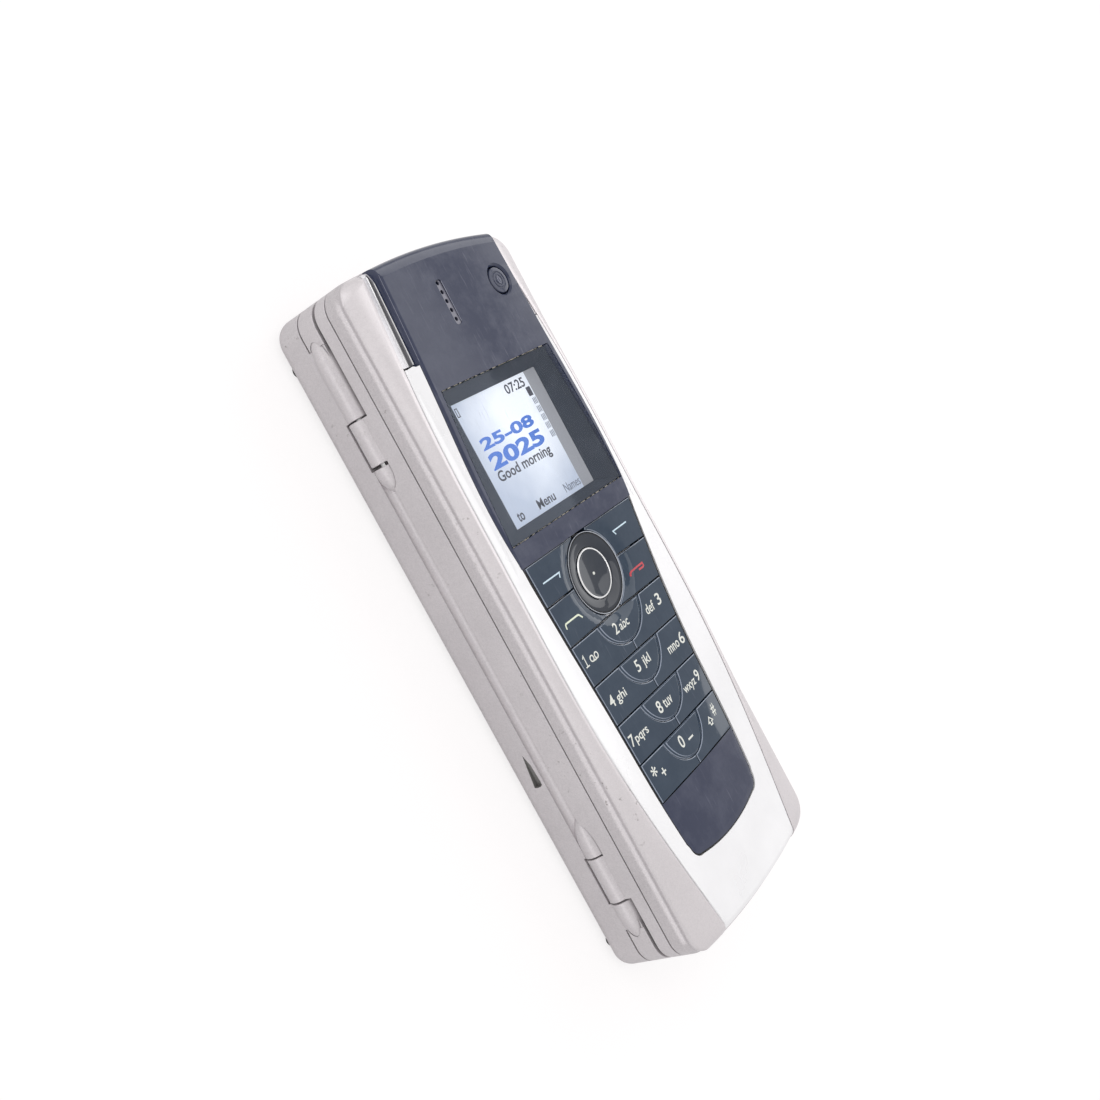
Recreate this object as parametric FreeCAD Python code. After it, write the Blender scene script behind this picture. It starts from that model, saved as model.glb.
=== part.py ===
import FreeCAD, Part
import math
import os

V = FreeCAD.Vector

# Overall size and the levels of the seams, millimetres, feet on z = 0
BODY_SHIFT = 0.5            # the barrels stand out on the hinge side only
HALF_WIDTH = 28.0
HALF_LENGTH = 74.0
END_BOW = 2.3               # how far the middle of an end stands out past its corners
CORNER_RADIUS = 5.0
BACK_LEVEL = 1.1
BACK_ROUNDING = 1.8
STRIP_LEVEL = 7.8           # seam between back shell and keyboard frame
BASE_TOP = 12.3
LID_BOTTOM = 13.0
SHELL_LEVEL = 16.3          # seam between inner frame and outer shell
HOLLOW_LEVEL = 19.9         # soft hollow band between the lid wall and the shoulder
SHOULDER_LEVEL = 20.8
OPENING_LEVEL = 22.6
SEAM = 0.25
WALL = 1.3

# Hinge: barrels half sunk in the long wall
HINGE_X = -26.4
HINGE_Z = 9.8
BARREL_RADIUS = 2.6
PIN_RADIUS = 0.9
HUMP_TOP = (49.3, 67.0)     # y range of the long hump next to the earpiece
LID_BARREL_TOP = (39.9, 48.95)
BULLET_TOP = (33.8, 39.2)
BULLET_LOW = (-46.4, -38.2)
LID_BARREL_LOW = (-56.5, -46.7)
HUMP_LOW = (-66.0, -56.9)
WEB_HALF = 0.8              # lid web reaches this far inboard of the hinge line
WEB_BOTTOM = 10.4
COVE_RISE = 1.8
NOSE_STEPS = 3
TIP_RADIUS = 0.08
COVE_FOOT = 7.4             # height at which the long wall starts to fall back under the lid edge

# Front insert: half widths along the length
OPENING_STATIONS = ((-70.4, 18.2), (-45.0, 22.8), (-18.0, 25.4), (8.0, 25.3), (42.0, 24.6), (70.4, 21.3))
COVER_STATIONS = ((-57.4, 14.8), (-44.0, 16.3), (-26.0, 17.3), (-8.0, 18.9), (4.0, 20.3), (14.0, 21.4))
DISPLAY_SECTION = ((9.9, 21.6), (15.0, 22.2), (46.0, 21.0), (73.0, 19.2))
BEZEL_START = 53.0
INSERT_GAP = 0.12
COVER_UNDERSIDE = 21.2
PANEL_CORNER = 3.0
PANEL_SINK = 0.1            # the rails lie this much below the keys
BEZEL_FALL = ((0.5, 20.0), (0.8, 21.2), (1.3, 22.2), (4.2, 24.9))
COVER_FALL = ((0.4, 20.0), (0.45, 22.4), (0.7, 23.6), (1.3, 24.4), (2.6, 25.1))

# Long arch of the front over the display: drum across the body, highest past the earpiece end
ARCH_RADIUS = 4530.0
ARCH_TOP = 25.37
ARCH_MIDDLE_Y = 137.0
HOOD_FOOT = (9.8, 23.35)    # y and height where the display's surround meets the keys
HOOD_RIM_Y = 14.6

# Bezel around the keypad: places along its arms, and outer y with inner point round the bottom corner
BEZEL_FLOOR = 20.9
BEZEL_RIM = 22.65
ARM_SINK = 0.4
BEZEL_STATIONS = (40.0, 27.0, 16.0, 9.8, 5.0, 0.0, -7.0, -15.0, -25.0, -38.0, -50.0)
BEZEL_CORNER = ((-58.0, (14.8, -54.0)), (-66.0, (13.8, -56.4)), (-70.5, (12.6, -57.2)),
                (-73.4, (10.6, -57.6)))

# Keypad on the front
KEYPAD_TOP_Y = 9.8
ROW_PITCH = 9.02
KEY_LEVELS = (23.3, 22.7, 22.22, 21.95, 21.87, 21.87, 21.9)  # key faces at the edges of the rows
KEY_BOTTOM = 20.7
KEY_GAP = 0.3
DIGIT_RADIUS = 5.2
NAV_Y = 0.65
NAV_RADIUS = 7.4
NAV_BUTTON_RADIUS = 4.7
NAV_SLOPE = 0.06            # the dial follows the rise of the keys
NAV_LEVEL = 22.7

# Display in the front
LENS_Y = (14.45, 46.25)
LENS_HALVES = (21.5, 20.6, 19.0)
LCD_HALF = (15.0, 13.5)
LCD_CENTRE_Y = 30.1

# Inside keyboard
DECK_TOP = 12.0
DECK_THICKNESS = 1.5
CAP_TOP = 12.8
CAP_PITCH = 9.5
CAP_GAP = 0.5
ROW_STEP = 7.6
FIRST_ROW_X = -11.0
JOYSTICK = (19.4, 54.0)
JOYSTICK_RADIUS = 3.3
JOYSTICK_SIDES = 20

# Bottom end and back
JACK_X = 12.0
JACK_Z = 4.7
JACK_RADIUS = 1.75
CONNECTOR_X = -4.0
FOOT_RADIUS = 1.4
FOOT_SIDES = 10
FOOT_Y = (63.2, -65.6)
FOOT_X = 25.2
COVER_HALF_WIDTH = 21.0
COVER_END_Y = 8.0
CAMERA_CENTRE = (12.0, 52.0)
SPEAKER_CENTRE = (-10.0, 52.0)
POWER_KEY = (13.65, 61.95)
EARPIECE_X = -4.95

# Number of straight steps that stand for each curve
CORNER_STEPS = 5
END_STEPS = 4
SIDE_STEPS = 10             # two for each gap between the stations of the opening
BARREL_SIDES = 20
PIN_SIDES = 12
DIAL_SIDES = 24
BUTTON_SIDES = 16
JACK_SIDES = 10
CUP_STEPS = 10
PANEL_CORNER_STEPS = 4


def box(x0, x1, y0, y1, z0, z1):
    return Part.makeBox(x1 - x0, y1 - y0, z1 - z0, V(x0, y0, z0))


def panel(points):
    """Flat face inside a ring of points."""
    return Part.Face(Part.makePolygon(points + [points[0]]))


def patch(a, b, c, d):
    """Four-cornered patch, folded along a diagonal where it isn't flat."""
    normal = (b - a).cross(d - a)
    if normal.Length > 1e-9 and abs((c - a).dot(normal.normalize())) < 1e-6:
        return [panel([a, b, c, d])]
    return [panel([a, b, c]), panel([a, c, d])]


def stacked(rings):
    """Solid through rings of points that all have the same number of points."""
    faces = [panel(rings[0]), panel(rings[-1])]
    for low, high in zip(rings, rings[1:]):
        for here in range(len(low)):
            after = (here + 1) % len(low)
            faces += patch(low[here], low[after], high[after], high[here])
    shell = Part.Shell(faces)
    shell.sewShape()
    solid = Part.Solid(shell)
    if solid.Volume < 0:
        solid.reverse()
    return solid


def circle_ring(sides, radius, x, y, z):
    turns = [2 * math.pi * (step + 0.5) / sides for step in range(sides)]
    return [V(x + radius * math.cos(t), y + radius * math.sin(t), z) for t in turns]


def prism(sides, radius, x, y, z0, z1):
    """Upright many-sided post, for small round parts."""
    return panel(circle_ring(sides, radius, x, y, z0)).extrude(V(0, 0, z1 - z0))


def prism_y(sides, radius, x, z, y0, y1):
    """Many-sided bar that lies along the hinge."""
    ring = [V(x + p.x, y0, z + p.y) for p in circle_ring(sides, radius, 0, 0, 0)]
    return panel(ring).extrude(V(0, y1 - y0, 0))


def fuse(shapes):
    joined = shapes[0].multiFuse(shapes[1:])
    return joined.removeSplitter()


def biggest(shape):
    """The main solid of a shape, without slivers left by its cuts."""
    return max(shape.Solids, key=lambda solid: solid.Volume)


def cut_corner_ring(x0, x1, y0, y1, z, corner):
    """Rectangle whose four corners are cut off at 45 degrees."""
    low = [V(x0 + corner, y0, z), V(x1 - corner, y0, z), V(x1, y0 + corner, z)]
    high = [V(x1, y1 - corner, z), V(x1 - corner, y1, z), V(x0 + corner, y1, z)]
    return low + high + [V(x0, y1 - corner, z), V(x0, y0 + corner, z)]


def cut_corner_box(x0, x1, y0, y1, z0, z1, corner):
    return panel(cut_corner_ring(x0, x1, y0, y1, z0, corner)).extrude(V(0, 0, z1 - z0))


def body_quarter(inset):
    """A quarter of the plan outline, from the end of the straight side to the middle of the bowed end."""
    bow_radius = (HALF_WIDTH ** 2 + END_BOW ** 2) / (2 * END_BOW) - inset
    bow_centre = HALF_LENGTH - inset - bow_radius
    corner = max(CORNER_RADIUS - inset, 0.8)
    corner_x = HALF_WIDTH - inset - corner
    rise = math.sqrt((bow_radius - corner) ** 2 - corner_x ** 2)
    turn_end = math.atan2(rise, corner_x)
    points = []
    for step in range(CORNER_STEPS + 1):
        turn = turn_end * step / CORNER_STEPS
        points.append((corner_x + corner * math.cos(turn), bow_centre + rise + corner * math.sin(turn)))
    half_steps = END_STEPS // 2
    for step in range(1, half_steps + 1):
        turn = turn_end + (math.pi / 2 - turn_end) * step / half_steps
        points.append((bow_radius * math.cos(turn), bow_centre + bow_radius * math.sin(turn)))
    return points


def four_fold(top, bottom, right_side, left_side, z):
    """Ring from its top and bottom quarters and the points between them on the long sides."""
    ring = [V(x, y, z) for x, y in top]
    ring += [V(-x, y, z) for x, y in reversed(top[:-1])]
    ring += [V(x, y, z) for x, y in left_side]
    ring += [V(-x, y, z) for x, y in bottom]
    ring += [V(x, y, z) for x, y in reversed(bottom[:-1])]
    return ring + [V(x, y, z) for x, y in right_side]


def body_ring(inset, z, side_steps=1):
    """Plan outline: straight long sides, bowed ends, round corners."""
    quarter = body_quarter(inset)
    side_x, side_y = quarter[0]
    between = [(side_x, side_y * (2 * step / side_steps - 1)) for step in range(1, side_steps)]
    left = [(-x, y) for x, y in reversed(between)]
    return four_fold(quarter, [(x, -y) for x, y in quarter], between, left, z)


def body_slab(inset, z0, z1):
    return panel(body_ring(inset, z0)).extrude(V(0, 0, z1 - z0))


def side_points(stations, grow):
    """Points (half width, y) on the smooth curve through the stations, two to each gap between them."""
    steps = 2 * (len(stations) - 1)
    curve = Part.BSplineCurve()
    curve.interpolate([V(half + grow, y, 0) for y, half in stations])
    spots = []
    for step in range(steps + 1):
        share = step / steps
        spot = curve.value(curve.FirstParameter + share * (curve.LastParameter - curve.FirstParameter))
        spots.append((spot.x, spot.y))
    return spots


def bow_points(half, y, sag):
    """Inner points of a bowed end from right to left; none where the end is straight."""
    if abs(sag) < 1e-6:
        return []
    points = []
    for step in range(1, END_STEPS):
        across = 1 - 2 * step / END_STEPS
        points.append((half * across, y + sag * (1 - across ** 2)))
    return points


def barrel_ring(stations, grow, bows, z):
    """Ring with curved long sides and bowed ends."""
    side = side_points(stations, grow)
    low, high = side[0], side[-1]
    top = bow_points(high[0], high[1], bows[1])
    bottom = bow_points(low[0], low[1], -bows[0])
    ring = [V(x, y, z) for x, y in side + top]
    ring += [V(-x, y, z) for x, y in reversed(side)]
    return ring + [V(-x, y, z) for x, y in bottom]


def barrel_slab(stations, grow, bows, z0, z1):
    return panel(barrel_ring(stations, grow, bows, z0)).extrude(V(0, 0, z1 - z0))


def nose(y0, y1, radius, pointed_high, grow=0.0):
    """Bullet on the hinge line: a barrel whose one end is drawn to a point."""
    length = y1 - y0
    straight = max(length - 2.6 * radius, 0.15 * length)
    levels = [(radius + grow, 0.0)]
    for step in range(NOSE_STEPS + 1):
        turn = math.pi / 2 * step / NOSE_STEPS
        reach = straight + (length - straight) * math.sin(turn)
        levels.append((max(radius * math.cos(turn), TIP_RADIUS) + grow, reach))
    start, sign = (y0, 1) if pointed_high else (y1, -1)
    rings = []
    for wide, reach in levels:
        circle = circle_ring(BARREL_SIDES, wide, 0, 0, 0)
        rings.append([V(HINGE_X + p.x, start + sign * reach, HINGE_Z + p.y) for p in circle])
    return stacked(rings)


def knuckles(grow):
    """The four base parts of the hinge, seen as two bullets and two humps."""
    parts = [
        nose(HUMP_TOP[0], HUMP_TOP[1], BARREL_RADIUS, True, grow),
        nose(BULLET_TOP[0], BULLET_TOP[1], BARREL_RADIUS, False, grow),
        nose(BULLET_LOW[0], BULLET_LOW[1], BARREL_RADIUS, True, grow),
        nose(HUMP_LOW[0], HUMP_LOW[1], BARREL_RADIUS, False, grow),
    ]
    return parts


def lid_swing_room():
    """Room the lid edge needs behind the long wall, with a hollow cove at its foot."""
    x_out = -HALF_WIDTH - 2.0
    x_in = HINGE_X + WEB_HALF + 0.5
    y = HUMP_LOW[1]
    low = COVE_FOOT - 0.2
    depth = x_in + HALF_WIDTH + 0.02
    section = [V(x_out, y, low), V(-HALF_WIDTH - 0.02, y, low)]
    for turn in (20.0, 40.0, 60.0, 80.0):
        across = math.sin(math.radians(turn))
        rise = 1 - math.cos(math.radians(turn))
        section.append(V(-HALF_WIDTH - 0.02 + depth * across, y, low + COVE_RISE * rise))
    section += [V(x_in, y, low + COVE_RISE), V(x_in, y, BASE_TOP + 1), V(x_out, y, BASE_TOP + 1)]
    return panel(section).extrude(V(0, HUMP_TOP[0] - HUMP_LOW[1], 0))


def pin_spans():
    return ((BULLET_TOP[0] + 2.2, HUMP_TOP[0] + 7.0), (HUMP_LOW[1] - 5.5, BULLET_LOW[1] - 2.5))


def wall_recess():
    """Finger recess in the long wall: deep at one end, rising to a point."""
    x = -HALF_WIDTH
    outline = [V(x, -22.6, 5.9), V(x, -25.0, 6.9), V(x, -29.2, 7.0), V(x, -29.85, 5.9), V(x, -29.4, 4.7)]
    edges = [Part.makeLine(outline[0], outline[1])]
    edges.append(Part.makeLine(outline[1], outline[2]))
    edges.append(Part.Arc(outline[2], outline[3], outline[4]).toShape())
    edges.append(Part.makeLine(outline[4], outline[0]))
    pocket = Part.Face(Part.Wire(edges)).extrude(V(3.0, 0, 0))
    pocket.translate(V(-1.0, 0, 0))
    floor = [V(x - 1.2, -22.4, 3), V(x + 0.05, -22.6, 3), V(x + 1.05, -30.2, 3), V(x - 1.2, -30.2, 3)]
    return pocket.common(panel(floor).extrude(V(0, 0, 6)))


def base_block():
    """Outside of the back shell: upright wall over a rounded back edge."""
    levels = ((BACK_ROUNDING, BACK_LEVEL), (0.6, BACK_LEVEL + 0.35), (0.15, BACK_LEVEL + 1.1))
    rings = [body_ring(inset, z) for inset, z in levels]
    return stacked(rings + [body_ring(0.0, BACK_LEVEL + 1.9), body_ring(0.0, BASE_TOP)])


def hinge_rail():
    return box(-HALF_WIDTH + 0.5, HINGE_X + WEB_HALF + 1.9, -68.0, 68.0, 5.4, BASE_TOP)


def hinge_wall_zone(margin):
    """Where the back shell's own wall rises to the lid seam, between the two seam ends."""
    return box(-HALF_WIDTH - 2.0, -23.3 + margin, -62.9 - margin, 64.3 + margin, STRIP_LEVEL - 1.0, 14.0)


def battery_bay():
    """Wall that frames the battery and stiffens the back."""
    outer = cut_corner_box(-22.2, 22.2, -59.6, 3.6, 2.3, 8.2, 2.0)
    return outer.cut(cut_corner_box(-21.2, 21.2, -58.6, 2.6, 2.0, 9.0, 1.6))


def back_cutouts():
    cuts = [box(-COVER_HALF_WIDTH - 0.15, COVER_HALF_WIDTH + 0.15, -80.0, COVER_END_Y + 0.15, 0.0, 2.45)]
    cuts.append(prism(BUTTON_SIDES, 3.6, CAMERA_CENTRE[0], CAMERA_CENTRE[1], 0.0, 3.0))
    for step in range(-2, 3):
        x = SPEAKER_CENTRE[0] + 2.2 * step
        cuts.append(box(x - 0.5, x + 0.5, SPEAKER_CENTRE[1] - 4.5, SPEAKER_CENTRE[1] + 4.5, 0.0, 3.0))
    for sx in (-1, 1):
        for y in FOOT_Y:
            cuts.append(prism(FOOT_SIDES, FOOT_RADIUS + 0.05, sx * FOOT_X, y, 0.0, 1.5))
    for x, y in base_screw_places():
        cuts.append(prism(8, 1.65, x, y, 0.0, 2.35))
        cuts.append(prism(6, 0.9, x, y, 0.0, 6.0))
    return cuts


def base_screw_places():
    return ((-17.0, 67.0), (17.0, 67.0), (-24.0, 14.0), (24.0, 14.0))


def base_shell():
    block = base_block()
    hollow = body_slab(WALL, 2.4, BASE_TOP + 1)
    shell = block.cut(hollow)
    rail = hinge_rail().common(block)
    shell = fuse([shell, rail])
    shell = shell.cut(lid_swing_room())
    ridge_x = HINGE_X + WEB_HALF + 0.6
    shell = shell.fuse(box(ridge_x, ridge_x + 1.1, -66.0, 66.0, BASE_TOP - 1, LID_BOTTOM - 0.12))
    above_hinge = box(-HALF_WIDTH - 2.0, HINGE_X + 0.6, -80.0, 80.0, HINGE_Z, BASE_TOP + 1)
    for hump in knuckles(0.45):
        shell = shell.cut(hump.common(above_hinge))
    for hump in knuckles(0.0):
        shell = shell.fuse(hump)
    for span in (LID_BARREL_TOP, LID_BARREL_LOW):
        room = prism_y(BARREL_SIDES, BARREL_RADIUS + 0.25, HINGE_X, HINGE_Z, span[0] - 0.3, span[1] + 0.3)
        shell = shell.cut(room)
    for span in pin_spans():
        bore = prism_y(PIN_SIDES, PIN_RADIUS + 0.02, HINGE_X, HINGE_Z, span[0] - 0.1, span[1] + 0.1)
        shell = shell.cut(bore)
    strip = body_slab(-4.0, STRIP_LEVEL, BASE_TOP + 1).cut(hinge_wall_zone(0.0))
    shell = shell.cut(strip.cut(Part.makeCompound(knuckles(0.0))))
    bosses = [prism(8, 2.0, x, y, 2.0, 6.2) for x, y in base_screw_places()]
    shell = fuse([shell, battery_bay()] + bosses)
    cuts = back_cutouts()
    cuts.append(wall_recess())
    cuts.append(prism_y(JACK_SIDES, 2.32, JACK_X, JACK_Z, -80.0, -70.0))
    cuts.append(box(CONNECTOR_X - 6.6, CONNECTOR_X + 6.6, -80.0, -70.0, 3.0, 6.9))
    cuts.append(box(20.0, 30.0, 43.9, 52.1, 3.4, 6.6))
    return biggest(shell.cut(Part.makeCompound(cuts)))


def deck_openings():
    holes = []
    for x, keys in keyboard_layout():
        for y, width in keys:
            holes.append((x, y, width))
    return holes


def keyboard_layout():
    """Key rows from hinge side to user side: row position and (middle, width) of each key."""
    rows = []
    start = -6.5 * CAP_PITCH
    patterns = [
        [1.0] * 13,
        [1.3] + [1.0] * 10 + [1.7],
        [1.6] + [1.0] * 9 + [2.4],
        [2.1] + [1.0] * 9 + [1.9],
        [1.3, 1.3, 1.2, 5.2, 1.2, 1.2],
    ]
    for index, pattern in enumerate(patterns):
        y = start
        keys = []
        for units in pattern:
            keys.append((y + units * CAP_PITCH / 2, units * CAP_PITCH - CAP_GAP))
            y += units * CAP_PITCH
        rows.append((FIRST_ROW_X + index * ROW_STEP, keys))
    return rows


def application_places():
    return [(-19.0, -56.0 + 16.0 * step) for step in range(8)]


def cap(x, y, half_x, half_y, z0, z1, corner):
    """One key cap: cut corners in plan and a slightly narrower top."""
    draft = 0.2
    foot = cut_corner_ring(x - half_x, x + half_x, y - half_y, y + half_y, z0, corner)
    half_x -= draft
    half_y -= draft
    return stacked([foot, cut_corner_ring(x - half_x, x + half_x, y - half_y, y + half_y, z1, corner)])


def keyboard_frame():
    inboard = box(-30.0, HINGE_X + WEB_HALF + 2.1, -68.2, 68.2, 5.0, 14.0)
    deck = body_slab(WALL - 0.1, DECK_TOP - DECK_THICKNESS, DECK_TOP).cut(inboard)
    rim = body_slab(0.0, STRIP_LEVEL + SEAM, BASE_TOP).cut(body_slab(WALL, 5.0, 14.0))
    rim = rim.cut(hinge_wall_zone(0.1))
    for hump in knuckles(0.1):
        rim = rim.cut(hump)
    frame = fuse([deck, rim])
    holes = []
    for x, y, width in deck_openings():
        holes.append(box(x - 3.5, x + 3.5, y - width / 2 - 0.2, y + width / 2 + 0.2, 5.0, 14.0))
    for x, y in application_places():
        holes.append(box(x - 2.4, x + 2.4, y - 5.7, y + 5.7, 5.0, 14.0))
    holes.append(prism(JOYSTICK_SIDES, JOYSTICK_RADIUS + 0.5, JOYSTICK[0], JOYSTICK[1], 5.0, 14.0))
    return frame.cut(Part.makeCompound(holes))


def keyboard_row(index):
    x, keys = keyboard_layout()[index]
    caps = []
    for y, width in keys:
        caps.append(cap(x, y, 3.3, width / 2, 10.3, CAP_TOP, 0.5))
    return Part.makeCompound(caps)


def application_keys():
    caps = [cap(x, y, 2.2, 5.5, 10.3, CAP_TOP - 0.1, 1.1) for x, y in application_places()]
    return Part.makeCompound(caps)


def joystick_actuator():
    foot = prism(8, 1.8, JOYSTICK[0], JOYSTICK[1], 10.15, 10.55)
    post = prism(8, 0.8, JOYSTICK[0], JOYSTICK[1], 10.5, 11.2)
    return fuse([foot, post])


def round_layers(x, y, sides, levels):
    """Many-sided solid of stacked cones, given as (radius, height) levels."""
    return stacked([circle_ring(sides, radius, x, y, z) for radius, z in levels])


def joystick_cap():
    x, y = JOYSTICK
    disc = round_layers(x, y, JOYSTICK_SIDES, ((JOYSTICK_RADIUS, 11.3), (JOYSTICK_RADIUS, 12.3), (2.9, 12.7)))
    bowl = round_layers(x, y, JOYSTICK_SIDES, ((1.0, 12.3), (2.4, 12.71)))
    socket = prism(8, 1.0, x, y, 11.0, 11.65)
    return disc.cut(bowl).cut(socket)


def rubber_feet():
    feet = []
    for sx in (-1, 1):
        for y in FOOT_Y:
            levels = ((FOOT_RADIUS - 0.3, 0.0), (FOOT_RADIUS, 0.3), (FOOT_RADIUS, 1.5))
            feet.append(round_layers(sx * FOOT_X, y, FOOT_SIDES, levels))
    return Part.makeCompound(feet)


def main_board():
    board = body_slab(WALL + 0.4, 8.7, 9.6)
    board = board.cut(box(-40.0, HINGE_X + WEB_HALF + 2.3, -80.0, 80.0, 0.0, 20.0))
    for x, y in base_screw_places():
        board = board.cut(prism(8, 1.2, x, y, 0.0, 20.0))
    return board


def shield_cans():
    cans = []
    for x0, x1, y0, y1 in ((-19.0, 19.0, 16.0, 40.0), (-12.0, 8.0, 60.5, 69.5)):
        can = cut_corner_box(x0, x1, y0, y1, 5.6, 8.6, 0.8)
        inner = cut_corner_box(x0 + 0.3, x1 - 0.3, y0 + 0.3, y1 - 0.3, 5.9, 9.0, 0.8)
        cans.append(can.cut(inner))
    return Part.makeCompound(cans)


def keyboard_dome_sheet():
    sheet = box(-22.6, 25.6, -63.0, 63.0, 9.75, 9.95)
    domes = []
    for x, keys in keyboard_layout():
        low, high = keys[0][0], keys[-1][0]
        domes.append(cut_corner_box(x - 1.8, x + 1.8, low - 3.0, high + 3.0, 9.9, 10.0, 1.0))
    return fuse([sheet] + domes)


def battery():
    return cut_corner_box(-20.5, 20.5, -58.0, 2.0, 2.7, 8.3, 1.6)


def battery_cover():
    block = base_block()
    plate = block.common(box(-COVER_HALF_WIDTH, COVER_HALF_WIDTH, -80.0, COVER_END_Y, 0.0, 2.3))
    grips = [box(-7.0, 7.0, y, y + 0.8, 0.5, 1.45) for y in (-2.0, 0.2, 2.4, 4.6)]
    return plate.cut(Part.makeCompound(grips))


def sim_card_holder():
    tray = cut_corner_box(-9.0, 9.0, 4.5, 12.5, 7.0, 8.6, 0.6)
    return tray.cut(box(-8.0, 8.0, 3.0, 11.5, 7.5, 8.2))


def camera_module():
    x, y = CAMERA_CENTRE
    lower = prism(BUTTON_SIDES, 3.3, x, y, 2.5, 5.5)
    upper = cut_corner_box(x - 4.0, x + 4.0, y - 4.0, y + 4.0, 5.4, 8.6, 0.6)
    lens = round_layers(x, y, 16, ((2.0, 2.4), (1.1, 3.7)))
    return fuse([lower, upper]).cut(lens)


def camera_window():
    return prism(BUTTON_SIDES, 3.5, CAMERA_CENTRE[0], CAMERA_CENTRE[1], 1.3, 2.4)


def loudspeaker():
    x, y = SPEAKER_CENTRE
    body = cut_corner_box(x - 7.0, x + 7.0, y - 5.5, y + 5.5, 2.6, 8.5, 1.2)
    return body.cut(cut_corner_box(x - 5.6, x + 5.6, y - 4.4, y + 4.4, 2.0, 3.3, 1.0))


def charger_jack():
    body = prism_y(JACK_SIDES, 2.3, JACK_X, JACK_Z, -73.1, -63.5)
    block = box(JACK_X - 3.0, JACK_X + 3.0, -71.9, -63.5, 2.9, 7.4)
    bore = Part.makeCylinder(JACK_RADIUS, 9.0, V(JACK_X, -74.0, JACK_Z), V(0, 1, 0))
    return fuse([body, block]).cut(bore)


def system_connector():
    body = box(CONNECTOR_X - 6.5, CONNECTOR_X + 6.5, -73.4, -64.0, 3.1, 6.8)
    mouth = box(CONNECTOR_X - 5.6, CONNECTOR_X + 5.6, -76.0, -68.0, 3.8, 6.1)
    tongue = box(CONNECTOR_X - 4.8, CONNECTOR_X + 4.8, -72.6, -67.5, 4.6, 5.3)
    return fuse([body.cut(mouth), tongue])


def infrared_window():
    lens = box(WALL + 24.0, 28.6, 44.0, 52.0, 3.5, 6.5)
    return lens.common(base_block()).cut(box(20.0, 26.0, 40.0, 60.0, 0.0, 10.0))


def screw(x, y, head_levels, shank_levels, slot_levels, head_radius):
    """Slotted screw; the levels are the heights between which each part lies."""
    head = prism(8, head_radius, x, y, head_levels[0], head_levels[1])
    shank = prism(6, 0.82, x, y, shank_levels[0], shank_levels[1])
    slot = box(x - 0.9, x + 0.9, y - 0.18, y + 0.18, slot_levels[0], slot_levels[1])
    return fuse([head, shank]).cut(slot)


def base_screws():
    screws = [screw(x, y, (1.45, 2.3), (2.2, 5.8), (1.0, 1.8), 1.5) for x, y in base_screw_places()]
    return Part.makeCompound(screws)


def hinge_pins():
    pins = [prism_y(PIN_SIDES, PIN_RADIUS, HINGE_X, HINGE_Z, low, high) for low, high in pin_spans()]
    return Part.makeCompound(pins)


def lid_web():
    """The part of the lid that hangs down to the hinge line between the outer gaps."""
    x_in = HINGE_X + WEB_HALF
    web = box(-HALF_WIDTH, x_in, LID_BARREL_LOW[0], LID_BARREL_TOP[1], WEB_BOTTOM, 14.2)
    for part in knuckles(0.3):
        web = web.cut(part)
    pieces = [web]
    for span in (LID_BARREL_TOP, LID_BARREL_LOW):
        pieces.append(prism_y(BARREL_SIDES, BARREL_RADIUS, HINGE_X, HINGE_Z, span[0], span[1]))
        pieces.append(box(-HALF_WIDTH, x_in, span[0], span[1], HINGE_Z, 14.2))
    joined = fuse(pieces)
    for low, high in ((BULLET_TOP[1] - 0.01, LID_BARREL_TOP[0]), (LID_BARREL_LOW[1], BULLET_LOW[0] + 0.01)):
        joined = joined.cut(prism_y(BARREL_SIDES, BARREL_RADIUS + 0.3, HINGE_X, HINGE_Z, low, high))
    for span in (LID_BARREL_TOP, LID_BARREL_LOW):
        joined = joined.cut(prism_y(PIN_SIDES, PIN_RADIUS + 0.06, HINGE_X, HINGE_Z, span[0] - 1, span[1] + 1))
    return joined


def lid_inner_frame():
    ring = body_slab(0.0, LID_BOTTOM, SHELL_LEVEL - SEAM).cut(body_slab(WALL, 12.0, 18.0))
    plate = body_slab(WALL - 0.1, 13.6, 14.7)
    plate = plate.cut(cut_corner_box(-14.2, 20.2, -57.2, 47.2, 12.0, 16.0, 0.7))
    lip = body_slab(WALL + 0.2, LID_BOTTOM - 0.6, 14.0).cut(body_slab(WALL + 1.1, 12.0, 18.0))
    lip = lip.common(box(-16.0, 40.0, -80.0, 80.0, 10.0, 20.0))
    frame = fuse([ring, plate, lid_web(), lip])
    holes = []
    for x, y in command_places():
        holes.append(cut_corner_box(x - 3.4, x + 3.4, y - 2.9, y + 2.9, 12.0, 16.0, 1.0))
    for x, y in lid_screw_places():
        holes.append(prism(8, 1.55, x, y, 12.0, 14.0))
        holes.append(prism(6, 0.9, x, y, 12.0, 16.0))
    return frame.cut(Part.makeCompound(holes))


def command_places():
    return [(-9.6 + 8.4 * step, 54.0) for step in range(4)]


def command_keys():
    caps = []
    for x, y in command_places():
        key = cap(x, y, 3.2, 2.7, 13.3, 15.2, 0.9)
        key = key.mirror(V(0, 0, (13.3 + 15.2) / 2), V(0, 0, 1))
        caps.append(key)
    return Part.makeCompound(caps)


def lid_screw_places():
    return ((-22.5, 66.5), (22.5, 66.5), (-22.5, -66.5), (22.5, -66.5))


def lid_screws():
    screws = [screw(x, y, (13.65, 14.0), (13.9, 17.6), (13.5, 13.85), 1.4) for x, y in lid_screw_places()]
    return Part.makeCompound(screws)


def main_display_window():
    return cut_corner_box(-14.0, 20.0, -57.0, 47.0, 13.75, 14.6, 0.7)


def main_display():
    module = box(-15.6, 21.6, -58.4, 48.4, 14.8, 17.4)
    glass = box(-15.0, 21.0, -57.8, 47.8, 14.72, 14.9)
    return fuse([module, glass])


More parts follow.
